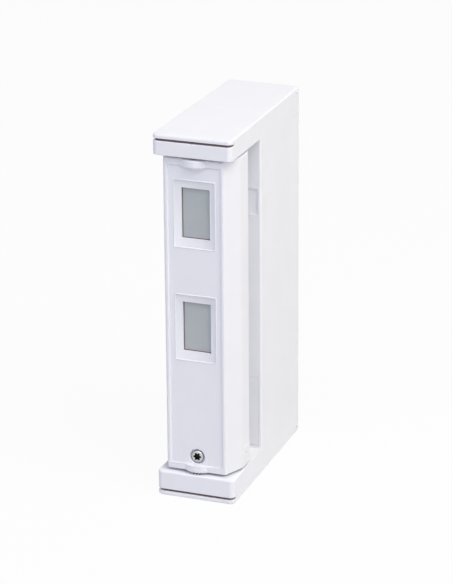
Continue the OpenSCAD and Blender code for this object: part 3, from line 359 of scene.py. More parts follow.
# A CAD node's triangles merged into flat faces, with some of its edges rounded.
# Each rounding is a radius in mm and a test of an edge's middle (mm) and direction.
def roundedCopy(node, material, roundings, segments=4, look=roundingLook):
    form = bmesh.new()
    form.from_mesh(frame["nodes"][node].data)
    bmesh.ops.remove_doubles(form, verts=form.verts, dist=look["weld"] * mm)
    levelTo = math.radians(look["level"])
    bmesh.ops.dissolve_limit(form, angle_limit=levelTo, verts=form.verts, edges=form.edges)
    weldSlivers(form, look)
    bmesh.ops.dissolve_limit(form, angle_limit=levelTo, verts=form.verts, edges=form.edges)
    weight = form.edges.layers.float.new("bevel_weight_edge")
    widest = max(radius for radius, test in roundings)
    for edge in form.edges:
        if len(edge.link_faces) != 2:
            continue
        bend = edge.calc_face_angle_signed(0)
        if abs(bend) < math.radians(look["roundFrom"]):
            continue
        middle = (edge.verts[0].co + edge.verts[1].co) / 2 / mm
        way = (edge.verts[1].co - edge.verts[0].co).normalized()
        fitting = [radius for radius, test in roundings if bend > 0 and test(middle, way)]
        if fitting:
            edge[weight] = fitting[0] / widest
        elif abs(bend) > math.radians(look["crispFrom"]):
            edge.smooth = False
    for face in form.faces:
        face.smooth = True
    mesh = bpy.data.meshes.new(node + "Soft")
    form.to_mesh(mesh)
    form.free()
    piece = addPiece(node + "Soft", mesh, material)
    bevel = piece.modifiers.new("rounding", "BEVEL")
    bevel.limit_method, bevel.width, bevel.segments = "WEIGHT", widest * mm, segments
    bevel.use_clamp_overlap = False
    return shadeFaces(freeze(piece), look)


# A white outer moulding in place of its CAD node
def makeMoulding(node, roundings):
    replaceNode(roundedCopy(node, "satinAsaMoulding", roundings), node)


def near(value, target, slack=0.15):
    return abs(value - target) < slack


def upright(way):
    return abs(way.z) > 0.9


# A side of a CAD node's box in mm: side 0 is low, 1 is high
def level(node, side, axis):
    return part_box(node)[side]["xyz".index(axis)] / mm


# Lowest and highest corner of a CAD node and the middle between them, in mm
def boxOf(node):
    low, high = (Vector(corner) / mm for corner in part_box(node))
    return low, high, (low + high) / 2


frontY = level("front_housing", 0, "y")
seamY = level("top_front_cap", 1, "y")
plateY = level("wall_plate", 0, "y")
spineY = level("spine_hatch", 0, "y")
bulgeY = level("head_cover", 0, "y")
partY = level("cover_seals", 1, "y")
swivelY = (level("upper_shaft", 0, "y") + level("upper_shaft", 1, "y")) / 2
armLow, armHigh = level("front_housing", 0, "z"), level("front_housing", 1, "z")
capLow, capHigh = level("bottom_front_cap", 0, "z"), level("top_front_cap", 1, "z")
lowArmTop, upArmUnder = level("swivel_washers", 0, "z"), level("swivel_washers", 1, "z")
headLow, headHigh = level("head_cover", 0, "z"), level("head_cover", 1, "z")
headHalf = level("head_cover", 1, "x")
footTop = level("head_chassis", 0, "z")
frontHalf, seamHalf = level("front_housing", 1, "x"), level("back_box", 1, "x")

# Housing mouldings: edge radii and the shadow grooves under the caps, in mm
housingLook = {
    "lowArmTop": 1.0,       # front and side edges of the lower arm's top
    "upArmUnder": 0.3,
    "upArmTop": 0.35,       # under the upper groove
    "lowArmUnder": 0.25,    # above the lower groove
    "capEdge": 1.05,
    "capGroove": 0.2,
    "seam": 0.2,
    "wallSide": 0.5,
    "grooveRun": 5.0,       # how far a groove reaches back along a side
    "plateThick": 2.1,      # thickness of a cap's plate
    "draftFrom": 2.4,       # distance behind the front where the box's widest line lies
    "seamIn": 0.3,          # how far in from the sides an edge of a seam can lie
    "boxSeamIn": 0.4,
    "wallIn": 0.6,
    "wallReach": 1,         # a cap's edges are rounded this close to the wall
    "hatchIn": 0.5,
    "hatchMiddle": 1,       # half width of the hatch's middle, where its end edges are
}


# Is a point in mm on the drafted outer sides or the front, to this inset
def outside(p, inset=1.0):
    back = (p.y - frontY - housingLook["draftFrom"]) / (seamY - frontY - housingLook["draftFrom"])
    half = frontHalf + (seamHalf - frontHalf) * back
    return abs(p.x) > half - inset or p.y < frontY + inset


def makeHousing(look):
    seam, wallSide, wallIn = look["seam"], look["wallSide"], look["wallIn"]
    grooveEnd = frontY + look["grooveRun"]
    makeMoulding("front_housing", [
        (look["lowArmTop"], lambda p, d: near(p.z, lowArmTop) and outside(p)),
        (look["upArmUnder"], lambda p, d: near(p.z, upArmUnder) and outside(p)),
        (look["upArmTop"], lambda p, d: near(p.z, armHigh) and outside(p) and p.y < grooveEnd),
        (look["lowArmUnder"], lambda p, d: near(p.z, armLow) and outside(p) and p.y < grooveEnd),
        (seam, lambda p, d: near(p.y, seamY) and outside(p, look["seamIn"])),
    ])
    for node, rest in (("top_front_cap", capHigh), ("bottom_front_cap", capLow),
                       ("top_rear_cap", capHigh), ("bottom_rear_cap", capLow)):
        under = rest - math.copysign(look["plateThick"], rest)
        makeMoulding(node, [
            (seam, lambda p, d: near(p.y, seamY) and abs(p.z) > abs(armHigh)),
            (look["capEdge"], lambda p, d: near(p.z, rest) and (outside(p) or p.y > -look["wallReach"])),
            (look["capGroove"], lambda p, d: near(p.z, under) and outside(p) and p.y < grooveEnd),
        ])
    makeMoulding("back_box", [
        (seam, lambda p, d: (near(p.y, seamY) or near(p.y, plateY)) and outside(p, look["boxSeamIn"])),
        (wallSide, lambda p, d: near(p.y, 0) and (outside(p, wallIn) or near(p.z, armHigh))),
    ])
    makeMoulding("wall_plate", [
        (seam, lambda p, d: near(p.y, plateY) and outside(p, look["seamIn"])),
        (wallSide, lambda p, d: near(p.y, 0) and (outside(p, wallIn) or near(p.z, armLow))),
    ])
    hatchSide = level("spine_hatch", 1, "x") - look["hatchIn"]
    makeMoulding("spine_hatch", [
        (seam, lambda p, d: near(p.y, spineY) and abs(p.x) > hatchSide),
        (seam, lambda p, d: near(p.y, spineY) and abs(d.x) > 0.9 and abs(p.x) < look["hatchMiddle"]),
    ])


makeHousing(housingLook)
print("housing mouldings made")

# Sensor head mouldings: edge radii in mm, and the cover's front steps as in the CAD
headLook = {
    "frontEdge": 0.5,       # where the flat front meets the chamfers
    "chamferEdge": 0.7,     # where the chamfers meet the sides
    "rimEdge": 0.6,         # ends of the head
    "panelEdge": 0.4,       # rims round the recessed panel
    "windowEdge": 0.2,
    "lensEdge": 0.25,       # inner lip at the bottom of a window's bevel
    "wellEdge": 0.35,
    "seam": 0.2,
    "headSeam": 0.05,       # the cover meets the chassis almost flush
    "bulgeOut": 2.1,
    "panelIn": 0.7,
    "bevelIn": 1.6,
    "chamferWide": 4.5,
    "chamferBack": 12.6,    # behind the arm fronts
    "windowHalf": 9.8,
    "windowWall": 0.3,      # how far outside a window its edges can lie
    "wellWall": 1,          # from the screw's ring to the outside of its well
    "screwUp": 7.15,        # middle of the cover screw above the head's lower end
    "hub": 12,              # an end's edges nearer than this to its middle aren't rounded
    "rimDeep": 1,           # unless they are this close to the front
    "sideIn": 0.4,          # how far in from the sides an edge of the head's seam can lie
    "rimIn": 0.5,           # the panel's rims lie further in than this, the foot's less far
    "fine": 0.1,            # slack where steps lie close together
}


def makeHead(look):
    fine = look["fine"]
    rimY = bulgeY + look["bulgeOut"]
    panelY = rimY + look["panelIn"]
    lipY = panelY + look["bevelIn"]
    flatHalf = headHalf - look["chamferWide"]
    chamferY = frontY + look["chamferBack"]
    panelHalf, footRadius = flatHalf - look["rimIn"], headHalf - look["rimIn"]
    lensHalf = look["windowHalf"]
    windowHalf = lensHalf + look["windowWall"]
    screwZ = headLow + look["screwUp"]
    wellRadius = level("screw_ring", 1, "x") + look["wellWall"]

    def isEnd(p):
        return near(p.z, headLow) or near(p.z, headHigh)

    def fromSwivel(p):
        return math.hypot(p.x, p.y - swivelY)

    sideSeam = (look["headSeam"],
                lambda p, d: near(p.y, partY, fine) and abs(p.x) > headHalf - look["sideIn"])
    makeMoulding("head_cover", [
        (look["frontEdge"], lambda p, d: upright(d) and near(abs(p.x), flatHalf) and near(p.y, rimY)),
        (look["chamferEdge"], lambda p, d: upright(d) and near(abs(p.x), headHalf) and near(p.y, chamferY)),
        (look["rimEdge"], lambda p, d: isEnd(p) and (p.y < rimY + look["rimDeep"] or abs(p.x) > look["hub"])),
        sideSeam,
        (look["panelEdge"],
         lambda p, d: near(p.y, rimY, fine) and abs(p.x) < panelHalf and abs(d.y) < 0.1),
        (look["wellEdge"],
         lambda p, d: near(p.y, panelY, fine) and math.hypot(p.x, p.z - screwZ) < wellRadius),
        (look["windowEdge"], lambda p, d: near(p.y, panelY, fine) and abs(p.x) < windowHalf),
        (look["lensEdge"], lambda p, d: near(p.y, lipY, fine) and abs(p.x) < lensHalf),
    ])
    makeMoulding("head_chassis", [
        sideSeam,
        (look["rimEdge"], lambda p, d: near(p.z, headHigh) and fromSwivel(p) > look["hub"]),
        (look["seam"], lambda p, d: near(p.z, footTop, fine) and fromSwivel(p) > footRadius),
    ])
    makeMoulding("swivel_base", [
        (look["rimEdge"], lambda p, d: near(p.z, headLow) and fromSwivel(p) > look["hub"]),
        (look["seam"], lambda p, d: fromSwivel(p) > footRadius
         and (near(p.z, footTop, fine) or near(p.y, partY, fine))),
    ])


makeHead(headLook)
print("head mouldings made")


# Starts a geometry tree with named sizes and counts; returns the tree and its inputs
def startGeometry(name, sizes, counts):
    tree = bpy.data.node_groups.new(name, "GeometryNodeTree")
    tree.interface.new_socket("Geometry", in_out="OUTPUT", socket_type="NodeSocketGeometry")
    tree.interface.new_socket("Geometry", in_out="INPUT", socket_type="NodeSocketGeometry")
    for kind, names in (("Float", sizes), ("Int", counts)):
        for socket in names.split():
            tree.interface.new_socket(socket, in_out="INPUT", socket_type="NodeSocket" + kind)
    return tree, addNode(tree, "NodeGroupInput").outputs


# Ends a tree: instances made real, one finish for all, another where the named attribute is set
def endGeometry(tree, geometry, finish, darkFinish=None):
    real = addNode(tree, "GeometryNodeRealizeInstances", {"Geometry": geometry})
    coat = addNode(tree, "GeometryNodeSetMaterial",
                   {"Geometry": real, "Material": materials[finish]})
    if darkFinish:
        dark = addNode(tree, "GeometryNodeInputNamedAttribute", {"Name": "dark"}, data_type="BOOLEAN")
        coat = addNode(tree, "GeometryNodeSetMaterial", {
            "Geometry": coat, "Material": materials[darkFinish], "Selection": dark})
    addNode(tree, "NodeGroupOutput", {"Geometry": coat})
    return tree


# Ends a tree with a smooth round tube along a curve
def endTube(tree, curve, enter, finish, caps):
    ring = addNode(tree, "GeometryNodeCurvePrimitiveCircle",
                   {"Resolution": enter["Sides"], "Radius": enter["Radius"]})
    tube = addNode(tree, "GeometryNodeCurveToMesh",
                   {"Curve": curve, "Profile Curve": ring, "Fill Caps": caps})
    soft = addNode(tree, "GeometryNodeSetShadeSmooth", {"Geometry": tube})
    return endGeometry(tree, soft, finish)


# Runs a tree on a mesh. Lengths in mm and the other sizes are set by their sockets' identifiers.
def growPiece(name, tree, lengths, others, mesh=None):
    piece = addPiece(name, mesh or bpy.data.meshes.new(name))
    grow = piece.modifiers.new("growth", "NODES")
    grow.node_group = tree
    sizes = {**{key: value * mm for key, value in lengths.items()}, **others}
    for item in tree.interface.items_tree:
        if item.in_out == "INPUT" and item.name in sizes:
            grow[item.identifier] = sizes[item.name]
    return freeze(piece)


# Outlines of a turned ring: how far it lies from the axis at this angle, as a share of its radius
def squareRing(angle):
    return 1 / max(abs(math.cos(angle)), abs(math.sin(angle)))


# A drive recess: inner radius as a share of the outer one, a sharper power gives narrower arms
def lobedRing(lobes, inner, power):
    return lambda angle: inner + (1 - inner) * abs(math.cos(lobes * angle / 2)) ** power


sixLobes = lobedRing(6, 0.66, 1.5)
crossArms = lobedRing(4, 0.38, 7)
slotArms = lobedRing(2, 0.24, 14)


# Closed body of rings round an axis: each ring is how far along (mm), its radius (mm) and its outline if
# it isn't round. The faces among the first darkRings rings carry the attribute dark.
def turnedMesh(name, rings, sides=64, axis="y", darkRings=0, crisp=38):
    form = bmesh.new()
    dark = form.faces.layers.bool.new("dark")
    loops = []
    for up, radius, *outline in rings:
        loop = []
        for k in range(sides):
            angle = 2 * math.pi * k / sides
            far = radius * (outline[0](angle) if outline else 1) * mm
            x, y, z = far * math.cos(angle), far * math.sin(angle), up * mm
            loop.append(form.verts.new((x, y, z) if axis == "z" else (x, z, y)))
        loops.append(loop)
    for row, (first, second) in enumerate(zip(loops, loops[1:])):
        for k in range(sides):
            face = form.faces.new((first[k], first[k - 1], second[k - 1], second[k]))
            face[dark] = row < darkRings
    for loop in (loops[0], loops[-1]):
        face = form.faces.new(loop)
        face[dark] = darkRings > 0 and loop is loops[0]
    bmesh.ops.recalc_face_normals(form, faces=form.faces)
    for face in form.faces:
        face.smooth = True
    for edge in form.edges:
        edge.smooth = edge.calc_face_angle(0) < math.radians(crisp)
    mesh = bpy.data.meshes.new(name)
    form.to_mesh(mesh)
    form.free()
    return mesh


# Box of each loose solid in a CAD node, in mm, lowest corner first
def solids(node):
    form = bmesh.new()
    form.from_mesh(frame["nodes"][node].data)
    bmesh.ops.remove_doubles(form, verts=form.verts, dist=roundingLook["weld"] * mm)
    left, found = set(form.verts), []
    while left:
        group, edgeOfGroup = set(), [min(left, key=lambda v: v.index)]
        while edgeOfGroup:
            vert = edgeOfGroup.pop()
            if vert in left:
                left.remove(vert)
                group.add(vert)
                edgeOfGroup += [edge.other_vert(vert) for edge in vert.link_edges]
        low = Vector([min(v.co[i] for v in group) for i in range(3)]) / mm
        high = Vector([max(v.co[i] for v in group) for i in range(3)]) / mm
        found.append((low, high))
    form.free()
    return sorted(found, key=lambda pair: tuple(round(c, 2) for c in pair[0]))


# Size of the first loose solid in a CAD node, and the middle of each one's low side along an axis, in mm
def lowSides(node, axis):
    found, up = solids(node), "xyz".index(axis)
    places = []
    for low, high in found:
        place = (low + high) / 2
        place[up] = low[up]
        places.append(place)
    return found[0][1] - found[0][0], places


# One master on each point of a mesh, each turned by a seeded angle round the named axis
def fieldTree(master, finish, darkFinish, axis):
    tree, enter = startGeometry("fieldOn" + master.name, "Turn", "Seed")
    copy = addNode(tree, "GeometryNodeObjectInfo", {"Object": master})
    angle = addNode(tree, "FunctionNodeRandomValue",
                    {"Min": 0.0, "Max": enter["Turn"], "Seed": enter["Seed"]}, data_type="FLOAT")
    turn = addNode(tree, "ShaderNodeCombineXYZ", {axis.upper(): angle.outputs[1]})
    field = addNode(tree, "GeometryNodeInstanceOnPoints", {
        "Points": enter["Geometry"], "Instance": copy.outputs["Geometry"], "Rotation": turn})
    return endGeometry(tree, field, finish, darkFinish)


# Puts a turned body on each place (mm), in place of a CAD node
def scatterTurned(name, node, mesh, places, finish, darkFinish=None, axis="y", turn=0.0, seed=1):
    master = addPiece(mesh.name, mesh)
    tree = fieldTree(master, finish, darkFinish, axis)
    points = bpy.data.meshes.new(name + "Places")
    points.from_pydata([tuple(Vector(place) * mm) for place in places], [], [])
    piece = growPiece(name, tree, {}, {"Turn": turn, "Seed": seed}, points)
    bpy.data.objects.remove(master)
    replaceNode(piece, node)


# Screws: radii and heights in mm that the CAD nodes have; recess is the drive's radius over the head's
smallScrew = {"drive": crossArms, "recess": 0.62, "sides": 32, "axis": "y"}
screwLook = {
    "cover_screw": {"head": 1.8, "shank": 1.5, "recess": 0.65, "drive": sixLobes, "sides": 96, "axis": "y"},
    "plate_screws": smallScrew,
    "hatch_screws": smallScrew,
    "board_screws": smallScrew,
    "housing_screws": {**smallScrew, "axis": "z"},
}
screwShape = {
    "headOver": 0.42,       # height of a small head over its width
    "crown": 0.5,           # how much of the head's height is its rounded crown
    "flat": 0.74,           # radius of the head's flat middle over its own
    "flatDeep": 0.015,      # mm, how much lower the flat's edge lies than its middle
    "edge": 0.08,           # mm, broken edge under the head
    "deep": 0.62,           # recess depth over the head's height
    "floor": 0.9,           # radius of the recess's bottom over its own
    "flare": 1.06,          # radius of its mouth over its own
    "flareDeep": 0.06,      # mm
    "shankOver": 0.52,      # shank radius over the head radius
    "tip": 0.6,             # radius of the end over the shank's
    "tipLong": 0.15,        # mm
    "plain": (0.2, 0.4),    # mm without thread under the head, and in all
    "threadPitch": 0.5,     # mm
    "threadDeep": 0.14,     # mm
    "turn": 1.5,            # radians, most that one screw is turned from the next
    "seed": 7,
}


# Rings of a screw from the bottom of its recess, over the head and down the threaded shank
def screwRings(radius, headTall, shank, length, look, shape):
    sunk, drive = radius * look["recess"], look["drive"]
    crown, flat, edge = headTall * shape["crown"], shape["flat"], shape["edge"]
    core, pitch = shank - shape["threadDeep"], shape["threadPitch"]
    rings = [(headTall * shape["deep"], sunk * shape["floor"], drive), (shape["flareDeep"], sunk, drive),
             (0, sunk * shape["flare"], drive), (shape["flatDeep"], radius * flat)]
    for step in (0.25, 0.5, 0.75, 1):
        angle = step * math.pi / 2
        rings.append((crown * (1 - math.cos(angle)), radius * (flat + (1 - flat) * math.sin(angle))))
    rings += [(headTall - edge, radius), (headTall, radius - edge), (headTall, core)]
    under, plain = shape["plain"]
    for k in range(int((length - headTall - plain) / pitch)):
        start = headTall + under + k * pitch
        rings += [(start, core), (start + pitch / 2, shank)]
    return rings + [(length - shape["tipLong"], core), (length, shank * shape["tip"])]


def makeScrews(looks, shape):
    for node, look in looks.items():
        axis = look["axis"]
        size, places = lowSides(node, axis)
        radius = size.x / 2
        headTall = look.get("head", radius * 2 * shape["headOver"])
        shank = look.get("shank", radius * shape["shankOver"])
        rings = screwRings(radius, headTall, shank, size["xyz".index(axis)], look, shape)
        # the recess's rings get the dark finish, painted shade in the recess
        mesh = turnedMesh(node + "Master", rings, look["sides"], axis, darkRings=2)
        turn = shape["turn"] if len(places) > 1 else 0.0
        scatterTurned(node + "Turned", node, mesh, places, "tumbledStainless", "oxidisedRecessSteel", axis,
                      turn, shape["seed"])


makeScrews(screwLook, screwShape)
print("screws made")

# Springs: wire across in mm, number of turns and the way each runs along Y from its fixed end
springLook = {
    "wall": {"wire": 0.45, "turns": 5.0, "way": 1},
    "cover": {"wire": 0.28, "turns": 5.0, "way": -1},
    "around": 32,           # points round one turn
    "wireSides": 10,
}


# Coil along +Z from the origin, both ends capped
def coilTree(finish):
    tree, enter = startGeometry("coil" + finish, "Turns Coil Height Radius", "Around Sides")
    spiral = addNode(tree, "GeometryNodeCurveSpiral", {
        "Resolution": enter["Around"], "Rotations": enter["Turns"], "Start Radius": enter["Coil"],
        "End Radius": enter["Coil"], "Height": enter["Height"]})
    return endTube(tree, spiral, enter, finish, True)


# Moves and turns a piece's mesh so that its own +Z runs along the way given
def placeMesh(piece, way, place):
    turn = Vector((0, 0, 1)).rotation_difference(Vector(way)).to_matrix().to_4x4()
    piece.data.transform(Matrix.Translation(Vector(place) * mm) @ turn)


def makeTamperSprings(looks):
    tree = coilTree("nickelSpringWire")
    for kind in ("wall", "cover"):
        look = looks[kind]
        node, joint, way = kind + "_tamper_spring", kind + "_tamper_press", look["way"]
        low, high, middle = boxOf(node)
        fixed = low.y if way > 0 else high.y
        wire = look["wire"] / 2
        tall = high.y - low.y
        piece = growPiece(
            kind + "TamperCoil", tree,
            {"Coil": (high.x - low.x) / 2 - wire, "Height": tall - 2 * wire, "Radius": wire},
            {"Turns": look["turns"], "Around": looks["around"], "Sides": looks["wireSides"]})
        placeMesh(piece, (0, way, 0), (middle.x, fixed + way * wire, middle.z))
        replaceNode(piece, node)
        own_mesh(piece)


makeTamperSprings(springLook)
print("tamper springs made")

# Battery cells: sizes in mm round what the CAD node has
cellLook = {"shoulder": 0.9, "pole": 2.6, "poleHigh": 1.2, "poleFoot": 0.8, "poleEdge": (0.2, 0.25),
            "dish": 0.3, "crimp": 2.2, "crimpHalf": 0.6, "crimpDeep": 0.18, "sleeveLip": 0.12}


def makeCells(look):
    size, places = lowSides("batteries", "z")
    radius, tall = size.x / 2, size.z - look["poleHigh"]
    lip, pole, crimp = look["sleeveLip"], look["pole"], tall - look["crimp"]
    edgeTall, edgeWide = look["poleEdge"]
    rings = [(0, radius - look["shoulder"]), (lip, radius - lip), (look["shoulder"], radius),
             (crimp - look["crimpHalf"], radius), (crimp, radius - look["crimpDeep"]),
             (crimp + look["crimpHalf"], radius), (tall - lip, radius - lip),
             (tall, radius - look["shoulder"]), (tall - look["dish"], radius - look["shoulder"] * 2),
             (tall, pole + look["poleFoot"]), (tall, pole), (size.z - edgeTall, pole),
             (size.z, pole - edgeWide)]
    mesh = turnedMesh("cellMaster", rings[::-1], axis="z", darkRings=4)
    scatterTurned("sleevedCells", "batteries", mesh, places, "shrinkSleeve", "tinnedSheet", "z")


makeCells(cellLook)
print("cells made")

# Pyroelectric sensors: a rolled can on a flange, with a square dark filter, in mm. A step is how far
# along and how much wider: the window's along from the can's front, the others from the flange.
pyroLook = {"can": 4.15, "flangeThick": 0.6, "roll": 0.5, "windowHalf": 1.8,
            "windowSteps": ((0.3, -0.06), (0.04, 0), (0, 0.1)), "canFoot": ((-0.25, 0), (0, 0.2)),
            "flangeSteps": ((0.05, -0.06), (0.12, 0)), "flangeEdge": 0.1}


def makePyro(node, look):
    low, high, middle = boxOf(node)
    deep, flange = high.y - low.y, (high.x - low.x) / 2
    can, roll, edge, rise = look["can"], look["roll"], look["flangeEdge"], deep - look["flangeThick"]
    rings = [(up, look["windowHalf"] + wider, squareRing) for up, wider in look["windowSteps"]]
    rings.append((0, can - roll))
    for step in (0.33, 0.66, 1):
        angle = step * math.pi / 2
        rings.append((roll * (1 - math.cos(angle)), can - roll * (1 - math.sin(angle))))
    rings += [(rise + up, can + wider) for up, wider in look["canFoot"]]
    rings += [(rise + up, flange + wider) for up, wider in look["flangeSteps"]]
    rings += [(deep - edge, flange), (deep, flange - edge)]
    mesh = turnedMesh(node + "Can", rings, darkRings=1)
    piece = addPiece(node + "Can", mesh)
    mesh.materials.append(materials["tinnedSheet"])
    mesh.materials.append(materials["darkSiliconFilter"])
    for face, dark in zip(mesh.polygons, mesh.attributes["dark"].data):
        face.material_index = int(dark.value)
    mesh.transform(Matrix.Translation(Vector((middle.x, low.y, middle.z)) * mm))
    replaceNode(piece, node)


for pyroNode in ("upper_pyro", "lower_pyro"):
    makePyro(pyroNode, pyroLook)

# Cable grommet: soft rings to be cut through by the cable, between two flanges, in mm
grommetLook = {"neck": 1.5, "flange": 1.0, "flangeEdge": 0.2, "face": 5.7, "faceEdge": 0.25,
               "throat": 5.4, "throatDeep": 0.3, "membrane": 1.6, "ringDeep": 0.35,
               "rings": (1.6, 2.65, 3.7, 4.75)}


def makeGrommet(look):
    low, high, middle = boxOf("cable_grommet")
    wide, deep = (high.x - low.x) / 2, high.y - low.y
    flange, edge, faceEdge = look["flange"], look["flangeEdge"], look["faceEdge"]
    sunk = (deep - look["membrane"]) / 2
    half = [(sunk + k % 2 * look["ringDeep"], radius) for k, radius in enumerate(look["rings"])]
    half += [(look["throatDeep"], look["throat"]), (0, look["face"]), (0, wide - faceEdge),
             (faceEdge, wide), (flange - edge, wide), (flange, wide - edge), (flange, wide - look["neck"])]
    rings = half + [(deep - up, radius) for up, radius in half[::-1]]
    piece = addPiece("ringedGrommet", turnedMesh("ringedGrommet", rings), "darkSealRubber")
    piece.data.transform(Matrix.Translation(Vector((middle.x, low.y, middle.z)) * mm))
    replaceNode(piece, "cable_grommet")


makeGrommet(grommetLook)
print("sensors and grommet made")

# Terminal screws: brass, with a driver slot
terminalLook = {"slot": 0.86, "slotFloor": 0.97, "slotDeep": 0.5, "edge": 0.12, "turn": 3.0, "seed": 3}


def makeTerminalScrews(look):
    size, places = lowSides("terminal_screws", "y")
    radius, length, edge = size.x / 2, size.y, look["edge"]
    slot = radius * look["slot"]
    rings = [(length * look["slotDeep"], slot * look["slotFloor"], slotArms), (0, slot, slotArms),
             (0, radius - edge), (edge, radius), (length - edge, radius), (length, radius - edge)]
    mesh = turnedMesh("terminalMaster", rings)
    scatterTurned("slottedTerminals", "terminal_screws", mesh, places, "turnedBrass",
                  turn=look["turn"], seed=look["seed"])


makeTerminalScrews(terminalLook)

# Softened mouldings inside: finish and edge radius in mm
softLook = {
    "dip_body": ("redSwitchPlastic", 0.2),
    **{"dip_slider_" + str(number): ("naturalAcetal", 0.12) for number in (1, 2, 3, 4)},
    "cover_tamper_body": ("mattBlackPolycarbonate", 0.25),
    "wall_tamper_body": ("mattBlackPolycarbonate", 0.3),
    "terminal_block": ("greenPolyamide", 0.2),
    "battery_holder": ("mattBlackPolycarbonate", 0.4),
    "radio_shield": ("tinnedSheet", 0.3),
    "sensor_plug": ("naturalAcetal", 0.2),
    "main_plug": ("naturalAcetal", 0.2),
    "status_led": ("diffusedEpoxy", 0.25),
    "lens_retainers": ("mattBlackPolycarbonate", 0.15),
    "upper_lens": ("milkyLensPolyethylene", 0.1),
    "lower_lens": ("milkyLensPolyethylene", 0.1),
}
for softNode, (softFinish, softRadius) in softLook.items():
    replaceNode(roundedCopy(softNode, softFinish, [(softRadius, lambda p, d: True)], 3), softNode)
print("inner mouldings softened")

# Round lips along the outer and the inner edge of each window, and a dark ring on its lens as painted shadow
# round the lens's edge, in mm; behind is how far a lip's middle lies behind the panel
lipLook = {
    "outer": {"halfWide": 9.9, "halfTall": 15.95, "behind": 0.12, "radius": 0.34, "corner": 0.5},
    "inner": {"halfWide": 6.95, "halfTall": 12.1, "behind": 1.64, "radius": 0.2, "corner": 0.2},
    # a dark ring on the lens: painted shadow round the lens's edge
    "gasket": {"halfWide": 6.72, "halfTall": 11.87, "behind": 2.8, "radius": 0.24, "corner": 0.15},
    "sides": 16,
    "cornerSteps": 6,
}


# Round lip along a rectangle with rounded corners, in its own X and Y
def lipTree(finish):
    tree, enter = startGeometry("windowLip" + finish, "Wide Tall Corner Radius", "Sides Steps")
    path = addNode(tree, "GeometryNodeCurvePrimitiveQuadrilateral",
                   {"Width": enter["Wide"], "Height": enter["Tall"]})
    bend = addNode(tree, "GeometryNodeFilletCurve", {
        "Curve": path, "Radius": enter["Corner"], "Count": enter["Steps"]}, mode="POLY")
    return endTube(tree, bend, enter, finish, False)


def makeLips(looks):
    moulded = (lipTree("satinAsaMoulding"), "white_plastic")
    # the dark ring round each lens is painted shadow
    paintedShadeLip = (lipTree("darkSealRubber"), "dark_rubber")
    panelY = bulgeY + headLook["bulgeOut"] + headLook["panelIn"]
    for node in ("upper_lens", "lower_lens"):
        for edge, (tree, slot) in (("outer", moulded), ("inner", moulded), ("gasket", paintedShadeLip)):
            look = looks[edge]
            piece = growPiece(
                node + edge.capitalize() + "Lip", tree,
                {"Wide": 2 * look["halfWide"], "Tall": 2 * look["halfTall"], "Corner": look["corner"],
                 "Radius": look["radius"]}, {"Sides": looks["sides"], "Steps": looks["cornerSteps"]})
            placeMesh(piece, (0, -1, 0), (0, panelY + look["behind"], boxOf(node)[2].z))
            finishPiece(piece, "cover")


makeLips(lipLook)
print("window lips made")

# Fine concentric ribs on the inner side of each lens, in mm; edge is left free round them
ribLook = {"across": 3, "up": 5, "rings": 4, "step": 0.5, "wide": 0.14, "around": 32, "edge": 2.2}


# A grid of ring sets: each ring a thin tube, half sunk in the lens
def ribTree():
    tree, enter = startGeometry("lensRibs", "Wide Tall Step Rib", "Across Up Rings Around")
    ringStep = addNode(tree, "ShaderNodeCombineXYZ", {"X": enter["Step"]})
    row = addNode(tree, "GeometryNodeMeshLine",
                  {"Count": enter["Rings"], "Offset": ringStep})
    number = addNode(tree, "GeometryNodeInputIndex")
    size = addNode(tree, "ShaderNodeMath", {0: number, 1: 1.0}, operation="ADD")
    centre = addNode(tree, "GeometryNodeSetPosition", {"Geometry": row, "Position": (0, 0, 0)})
    circle = addNode(tree, "GeometryNodeCurvePrimitiveCircle",
                     {"Resolution": enter["Around"], "Radius": enter["Step"]})
    copies = addNode(tree, "GeometryNodeInstanceOnPoints", {
        "Points": centre, "Instance": circle, "Scale": size})
    rings = addNode(tree, "GeometryNodeRealizeInstances", {"Geometry": copies})
    rib = addNode(tree, "GeometryNodeCurvePrimitiveCircle", {"Resolution": 4, "Radius": enter["Rib"]})
    tubes = addNode(tree, "GeometryNodeCurveToMesh",
                    {"Curve": rings, "Profile Curve": rib})
    grid = addNode(tree, "GeometryNodeMeshGrid", {
        "Size X": enter["Wide"], "Size Y": enter["Tall"], "Vertices X": enter["Across"],
        "Vertices Y": enter["Up"]})
    sets = addNode(tree, "GeometryNodeInstanceOnPoints",
                   {"Points": grid, "Instance": tubes})
    return endGeometry(tree, sets, "milkyLensPolyethylene")


def makeRibs(look):
    tree = ribTree()
    for node in ("upper_lens", "lower_lens"):
        low, high, middle = boxOf(node)
        reach = look["rings"] * look["step"] + look["edge"]
        piece = growPiece(
            node + "Ribs", tree, {"Wide": high.x - low.x - 2 * reach, "Tall": high.z - low.z - 2 * reach,
                                  "Step": look["step"], "Rib": look["wide"] / 2},
            {"Across": look["across"], "Up": look["up"], "Rings": look["rings"], "Around": look["around"]})
        placeMesh(piece, (0, 1, 0), (middle.x, high.y, middle.z))
        finishPiece(piece, "cover")


makeRibs(ribLook)
print("lens ribs made")

# Small parts on the boards, in strips that the larger parts leave free, in mm
partsLook = {
    "sizes": {"chip": (2.6, 1.1, 3.4), "cap": (1.0, 0.7, 1.7)},     # across, out from the board, up
    "step": 3.4,
    "stepUp": 1.6,          # from one row to the next, in steps
    "margin": 7,            # both sides together
    "share": 0.62,          # how many of the grid's places are filled
    "edge": 0.08,
    "strips": {
        "sensorLow": {"board": "sensor_board", "from": 4.0, "to": 17.5, "seed": 4},
        "sensorHigh": {"board": "sensor_board", "from": 36.5, "to": 43.5, "seed": 9},
        "main": {"board": "main_board", "from": -38.0, "to": 30.0, "seed": 12},
    },
}


